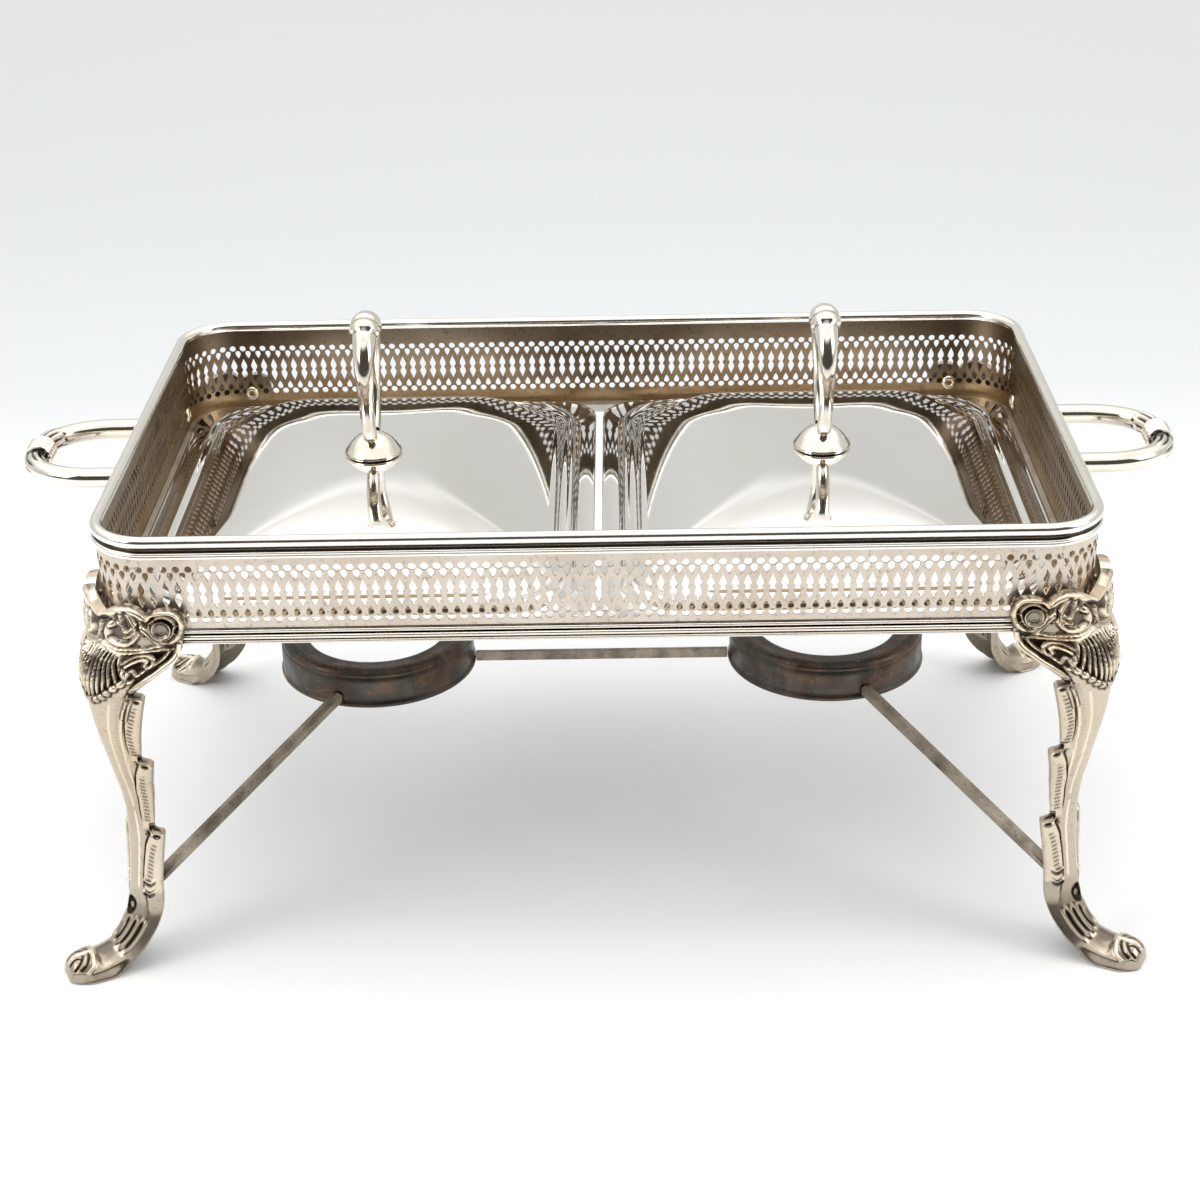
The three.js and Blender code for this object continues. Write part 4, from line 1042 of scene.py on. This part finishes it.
# %% The foot: ankle hole, ribs, dish and toe cap
foot = Carving(leg_up < 42, OVER, OUT)
x, y, up_here = foot.x, foot.y, UP[foot.rows]
hole = np.hypot(x / 3.4, (up_here - 33) / 4.4)
foot.film += 0.4
ribs = smoothly(29.5 - up_here, 0, 4) * (1 - smoothly(y, 17.5, 22)) * (1 - smoothly(x, 11, 12.5))
wave = 0.5 + 0.5 * np.cos(math.tau * x / 3.7)
foot.height += ribs * (1.4 * wave - 0.6)
foot.darken(ribs * (1 - smoothly(wave, 0.1, 0.55)) * 0.95)
dish = within(y, 18.5, 22.5, 29, 31) * np.clip(1 - (x / 12) ** 4, 0, 1)
foot.height -= dish
foot.darken(0.6 * dish)
toe = smoothly(y, 31.5, 34)
foot.height += 0.8 * toe * np.clip(1 - (x / 12.5) ** 2, 0, 1)
foot.ridge([(0, 31.2), (5, 31.6), (9, 33.4), (11.5, 36.5)], 1.1, 1.1, shade=0.5)
foot.ridge([(0, 32.5), (0, 37), (0, 42.5)], (0.8, 1.5), (0.5, 1.3), shade=0, base=0.5)
foot.cut([(2, 33.4), (4.6, 34.2), (8, 36.6), (9.6, 39.4)], (0.35, 0.8), 0.8)
foot.cut([(1.8, 36.4), (4.2, 37.6), (6.8, 40), (7.4, 42)], (0.35, 0.75), 0.8)
foot.cut([(2.6, 43.2), (2.4, 40.8), (3.6, 38.4)], (0.7, 0.3), 0.6)
foot.cut([(6.2, 33.2), (8.8, 34.6), (11, 38)], (0.3, 0.7), 0.7, shade=0.7)
# The ankle hole is a shallow dip. The full dark film laid in it is painted shade for the depth of
# the hole.
foot.height = np.where(hole < 1, -2.6 * np.sqrt(np.clip(1 - hole ** 2, 0, 1)) ** 0.4, foot.height)
foot.darken(1 - smoothly(hole, 0.95, 1.35))

# %% [markdown]
# The three stretches are laid together, and the grid is placed on the section: a round nose on
# the corner edge and a straight wing on either side. The back of the leg is the same surface
# moved in by the metal's thickness, and under the foot it is the flat sole.

# %% Lay the grid over the leg
HEIGHT, FILM_AND_SHADE_MAP = np.zeros(OVER.shape), np.zeros(OVER.shape)
under_knee = 1 - smoothly(shank.y, 158.5, 164) * (shank.x < REACH[shank.rows] - 9)
for stretch, weight in ((shank, under_knee), (foot, 1), (knee, 1)):
    HEIGHT[stretch.rows] += stretch.height * weight
    FILM_AND_SHADE_MAP[stretch.rows] = np.maximum(FILM_AND_SHADE_MAP[stretch.rows], stretch.film * weight)


def softened(values, times_over):
    """Values averaged with their neighbours, a few times over."""
    for _ in range(times_over):
        p = np.pad(values, 1, mode="edge")
        values = (p[:-2, 1:-1] + p[2:, 1:-1] + p[1:-1, :-2] + p[1:-1, 2:]) / 4
    return values


def mirrored_out(values):
    """From the half over one side of the corner edge to both sides."""
    return np.concatenate([values[:, :0:-1], values], axis=1)


HEIGHT = softened(HEIGHT, 1)
crevice = np.clip((softened(HEIGHT, 8) - HEIGHT) * 0.6 - 0.1, 0, 1)
FILM_AND_SHADE_MAP = np.clip(np.maximum(softened(FILM_AND_SHADE_MAP, 1), crevice), 0, 1)


def on_leg(raise_by):
    """Grid points of the leg's surface, moved out by some millimetres."""
    out, up, nose, angle, lean, swing, _ = (column[:, None] for column in leg_rows.T)
    over, up = np.concatenate([-OVER[:, :0:-1], OVER], axis=1), mirrored_out(UP)
    half = np.radians(angle)
    bend = np.clip(over / nose, -half, half)
    past = np.clip(np.abs(over) - nose * half, 0, None)
    sideways = nose * np.sin(bend) + np.sign(over) * past * np.cos(half) + raise_by * np.sin(bend)
    depth = nose * (1 - np.cos(bend)) + past * np.sin(half) - raise_by * np.cos(bend)
    tilt, turned_by = np.radians(lean), np.radians(swing * FOOT_TURN)
    along = out - depth * np.cos(tilt) - FOOT_PIVOT
    outward = FOOT_PIVOT + along * np.cos(turned_by) + sideways * np.sin(turned_by)
    aside = sideways * np.cos(turned_by) - along * np.sin(turned_by)
    return np.stack([outward, aside, up - depth * np.sin(tilt)], 2)


leg_front = on_leg(mirrored_out(HEIGHT))
leg_rear = on_leg(-leg_rows[:, [METAL_COLUMN]] + 0 * mirrored_out(HEIGHT))
sole = (smoothly(leg_out, 19, 27) * (leg_up < 40))[:, None]
leg_rear[:, :, 2] = np.maximum(leg_rear[:, :, 2] * (1 - sole), 0)
margin = smoothly(np.abs(np.linspace(-1, 1, COLUMNS)), 0.84, 1)[None, :]
margin = margin * (smoothly(leg_out, 20, 28) * (leg_up < 40))[:, None]
leg_front[:, :, 2] = np.maximum(leg_front[:, :, 2] * (1 - margin) + 0.8 * margin, 0.5)


# %% Build the four legs
def leg_to_room(points):
    """From (out, across, up) at the frame's corner to places in the room, in metres."""
    reach = CORNER + points[..., 0]
    return np.stack([CORNER_X + (reach - points[..., 1]) * math.sqrt(0.5),
        CORNER_Y + (reach + points[..., 1]) * math.sqrt(0.5), points[..., 2]], -1) * MM


bm = bmesh.new()
bmesh.ops.create_grid(bm, x_segments=COLUMNS - 1, y_segments=ROWS - 1, size=1)
shell = bmesh.ops.extrude_face_region(bm, geom=list(bm.faces), use_keep_orig=True)["geom"]
rear = of_kind(shell, bmesh.types.BMVert)
bmesh.ops.translate(bm, verts=rear, vec=(0, 0, -1))
inner_rear = [v for v in rear if max(abs(v.co.x), abs(v.co.y)) < 0.999]
bmesh.ops.unsubdivide(bm, verts=inner_rear, iterations=2)
for face in bm.faces:
    face.material_index = all(v.co.z < -0.5 for v in face.verts)
leg_mesh = bpy.data.meshes.new("leg")
bm.to_mesh(leg_mesh)
bm.free()

flat_places = np.zeros(len(leg_mesh.vertices) * 3)
leg_mesh.vertices.foreach_get("co", flat_places)
flat_places = flat_places.reshape(-1, 3)
column = np.rint((flat_places[:, 0] + 1) / 2 * (COLUMNS - 1)).astype(int)
row = np.rint((1 - flat_places[:, 1]) / 2 * (ROWS - 1)).astype(int)
is_rear = flat_places[:, 2] < -0.5
laid = np.where(is_rear[:, None], leg_to_room(leg_rear)[row, column],
    leg_to_room(leg_front)[row, column])
film_and_shade_here = np.where(is_rear, 0.3, mirrored_out(FILM_AND_SHADE_MAP)[row, column])
leg_mesh.vertices.foreach_set("co", laid.ravel())
# The legs' hollow attribute holds their dark film, and painted shade in the ankle holes.
film_and_shade_layer = leg_mesh.attributes.new("hollow", "FLOAT", "POINT")
film_and_shade_layer.data.foreach_set("value", film_and_shade_here)

for corner, (sx, sy) in CORNERS.items():
    bm = bmesh.new()
    bm.from_mesh(leg_mesh)
    bmesh.ops.scale(bm, vec=(sx, sy, 1), verts=bm.verts)
    finish_piece("cast_leg_" + corner, bm, [leg_silver, leg_back], ["leg_" + corner], sharp=60,
        film=0)
bpy.data.meshes.remove(leg_mesh)

# %% [markdown]
# ## Rivets
#
# Each leg is held by tubular rivets. Inside the frame their rolled eyelets show as small rings
# with a dark bore. Outside, the heads lie in the eyes of the scrolls as shallow cups, and the
# cups keep a dark film.

# %% Rivets
rivet_profile = [(0, -2), (1.3, -2), (1.5, -4.6), (1.9, -5.15), (2.7, -5.3), (3.6, -5), (4.2, -4.3),
    (4.3, -3.6), (2, -3.5), (2, 5.6), (4.3, 5.6), (4.6, 6.2), (4.5, 6.8), (4.2, 6.9), (3.8, 6.6),
    (3.2, 6.1), (2.4, 5.6), (1.2, 5.3), (0, 5.2)]
for corner, (sx, sy) in CORNERS.items():
    for kind, origin, axis in (("long", (sx * 204, sy * 150, RIVET_LEVEL), (0, sy, 0)),
            ("short", (sx * 240, sy * 114, RIVET_LEVEL), (sx, 0, 0))):
        bm = bmesh.new()
        turned(bm, rivet_profile, 28, origin, axis)
        cup = place(*origin) + Vector(axis) * 6.0 * MM
        for face in bm.faces:
            away = face.calc_center_median() - cup
            in_cup = away.length < 4.1 * MM and abs(away.dot(Vector(axis))) < 1.0 * MM
            face.material_index = in_cup
        finish_piece(f"rivet_{kind}_of_{corner}", bm, [leg_silver, rivet_cup],
            [f"rivet_{kind}_{corner}"], sharp=45)

# %% [markdown]
# ## Floor, light and surroundings
#
# Polished metal shows the room, so the room matters as much as the lamps. The floor is pale and
# plain, and a little darker in the distance, which is painted shade: the falloff of the light is
# painted into its colour. The world is a studio: a white ceiling, a grey horizon that is brighter
# on the left, and a dark side behind the camera, which draws a dark line along every bead. Three
# large soft lamps give the rest.

# %% Floor
bm = bmesh.new()
bmesh.ops.create_grid(bm, x_segments=1, y_segments=1, size=6)
floor_mesh = bpy.data.meshes.new("floor")
bm.to_mesh(floor_mesh)
bm.free()
floor = bpy.data.objects.new("floor", floor_mesh)
bpy.context.collection.objects.link(floor)
floor_skin, tree, paper = new_skin("floor_pale")
# Lightest near the stand and darker farther off: painted light and shade, the lamps' falloff
# painted into the floor's colour.
distance = fit_range(tree, place_along(tree, "Y"), 0, 2)
tone = ramp(tree, distance, [(0, (0.94, 0.95, 0.96)), (0.13, (0.92, 0.93, 0.94)),
    (0.32, (0.715, 0.735, 0.75)), (0.55, (0.7, 0.72, 0.735)), (1, (0.75, 0.77, 0.785))])
tree.links.new(tone, paper.inputs["Base Color"])
paper.inputs["Metallic"].default_value = 0.0
paper.inputs["Roughness"].default_value = 0.9
paper.inputs["Specular IOR Level"].default_value = 0.1
floor_mesh.materials.append(floor_skin)

# %% World
world = bpy.data.worlds.new("studio")
bpy.context.scene.world = world
world.use_nodes = True
tree = world.node_tree
toward_x, toward_y, toward_z = (place_along(tree, axis, "Generated") for axis in "XYZ")
to_right = ramp(tree, toward_z, [(0, (0.62, 0.62, 0.61)), (0.25, (0.69, 0.69, 0.665)),
    (0.46, (0.69, 0.69, 0.665)), (0.482, (1, 1, 0.98)), (0.502, (0.84, 0.83, 0.8)),
    (0.56, (0.97, 0.96, 0.93)), (0.66, (1.25, 1.25, 1.24)), (1, (1.1, 1.1, 1.1))])
to_left = ramp(tree, toward_z, [(0, (0.62, 0.62, 0.61)), (0.25, (0.72, 0.72, 0.7)),
    (0.44, (0.78, 0.78, 0.755)), (0.475, (1.25, 1.25, 1.23)), (0.502, (1.02, 1.01, 0.98)),
    (0.56, (1.2, 1.19, 1.16)), (0.66, (1.35, 1.35, 1.34)), (1, (1.1, 1.1, 1.1))])
around = blend(tree, fit_range(tree, toward_x, 0.08, -0.22), to_right, to_left)
behind_camera = blend(tree, fit_range(tree, toward_y, -0.25, -0.6), around, (0.07, 0.065, 0.055))
sky = blend(tree, fit_range(tree, toward_z, 0.6, 0.72, 1, 0), around, behind_camera)
tree.links.new(sky, tree.nodes["Background"].inputs["Color"])


# %% Lamps
def soft_lamp(name, place_of_lamp, width, height, watts):
    """A large rectangular lamp that points at the object."""
    data = bpy.data.lights.new(name, "AREA")
    data.shape = "RECTANGLE"
    data.size, data.size_y = width, height
    data.energy = watts
    lamp = bpy.data.objects.new(name, data)
    lamp.location = place_of_lamp
    lamp.rotation_euler = (LIT_POINT - lamp.location).to_track_quat("-Z", "Y").to_euler()
    bpy.context.collection.objects.link(lamp)


LIT_POINT = Vector((0, 0, 0.15))
soft_lamp("overhead", (0, 0.1, 1.9), 1.6, 1.2, 10)
soft_lamp("left_side", (-1.5, -0.9, 1.1), 0.9, 0.9, 9)
soft_lamp("right_side", (1.6, -0.6, 1), 0.8, 0.9, 7)
bpy.context.scene.view_settings.view_transform = "Standard"
print("lamps:", len(bpy.data.lights))
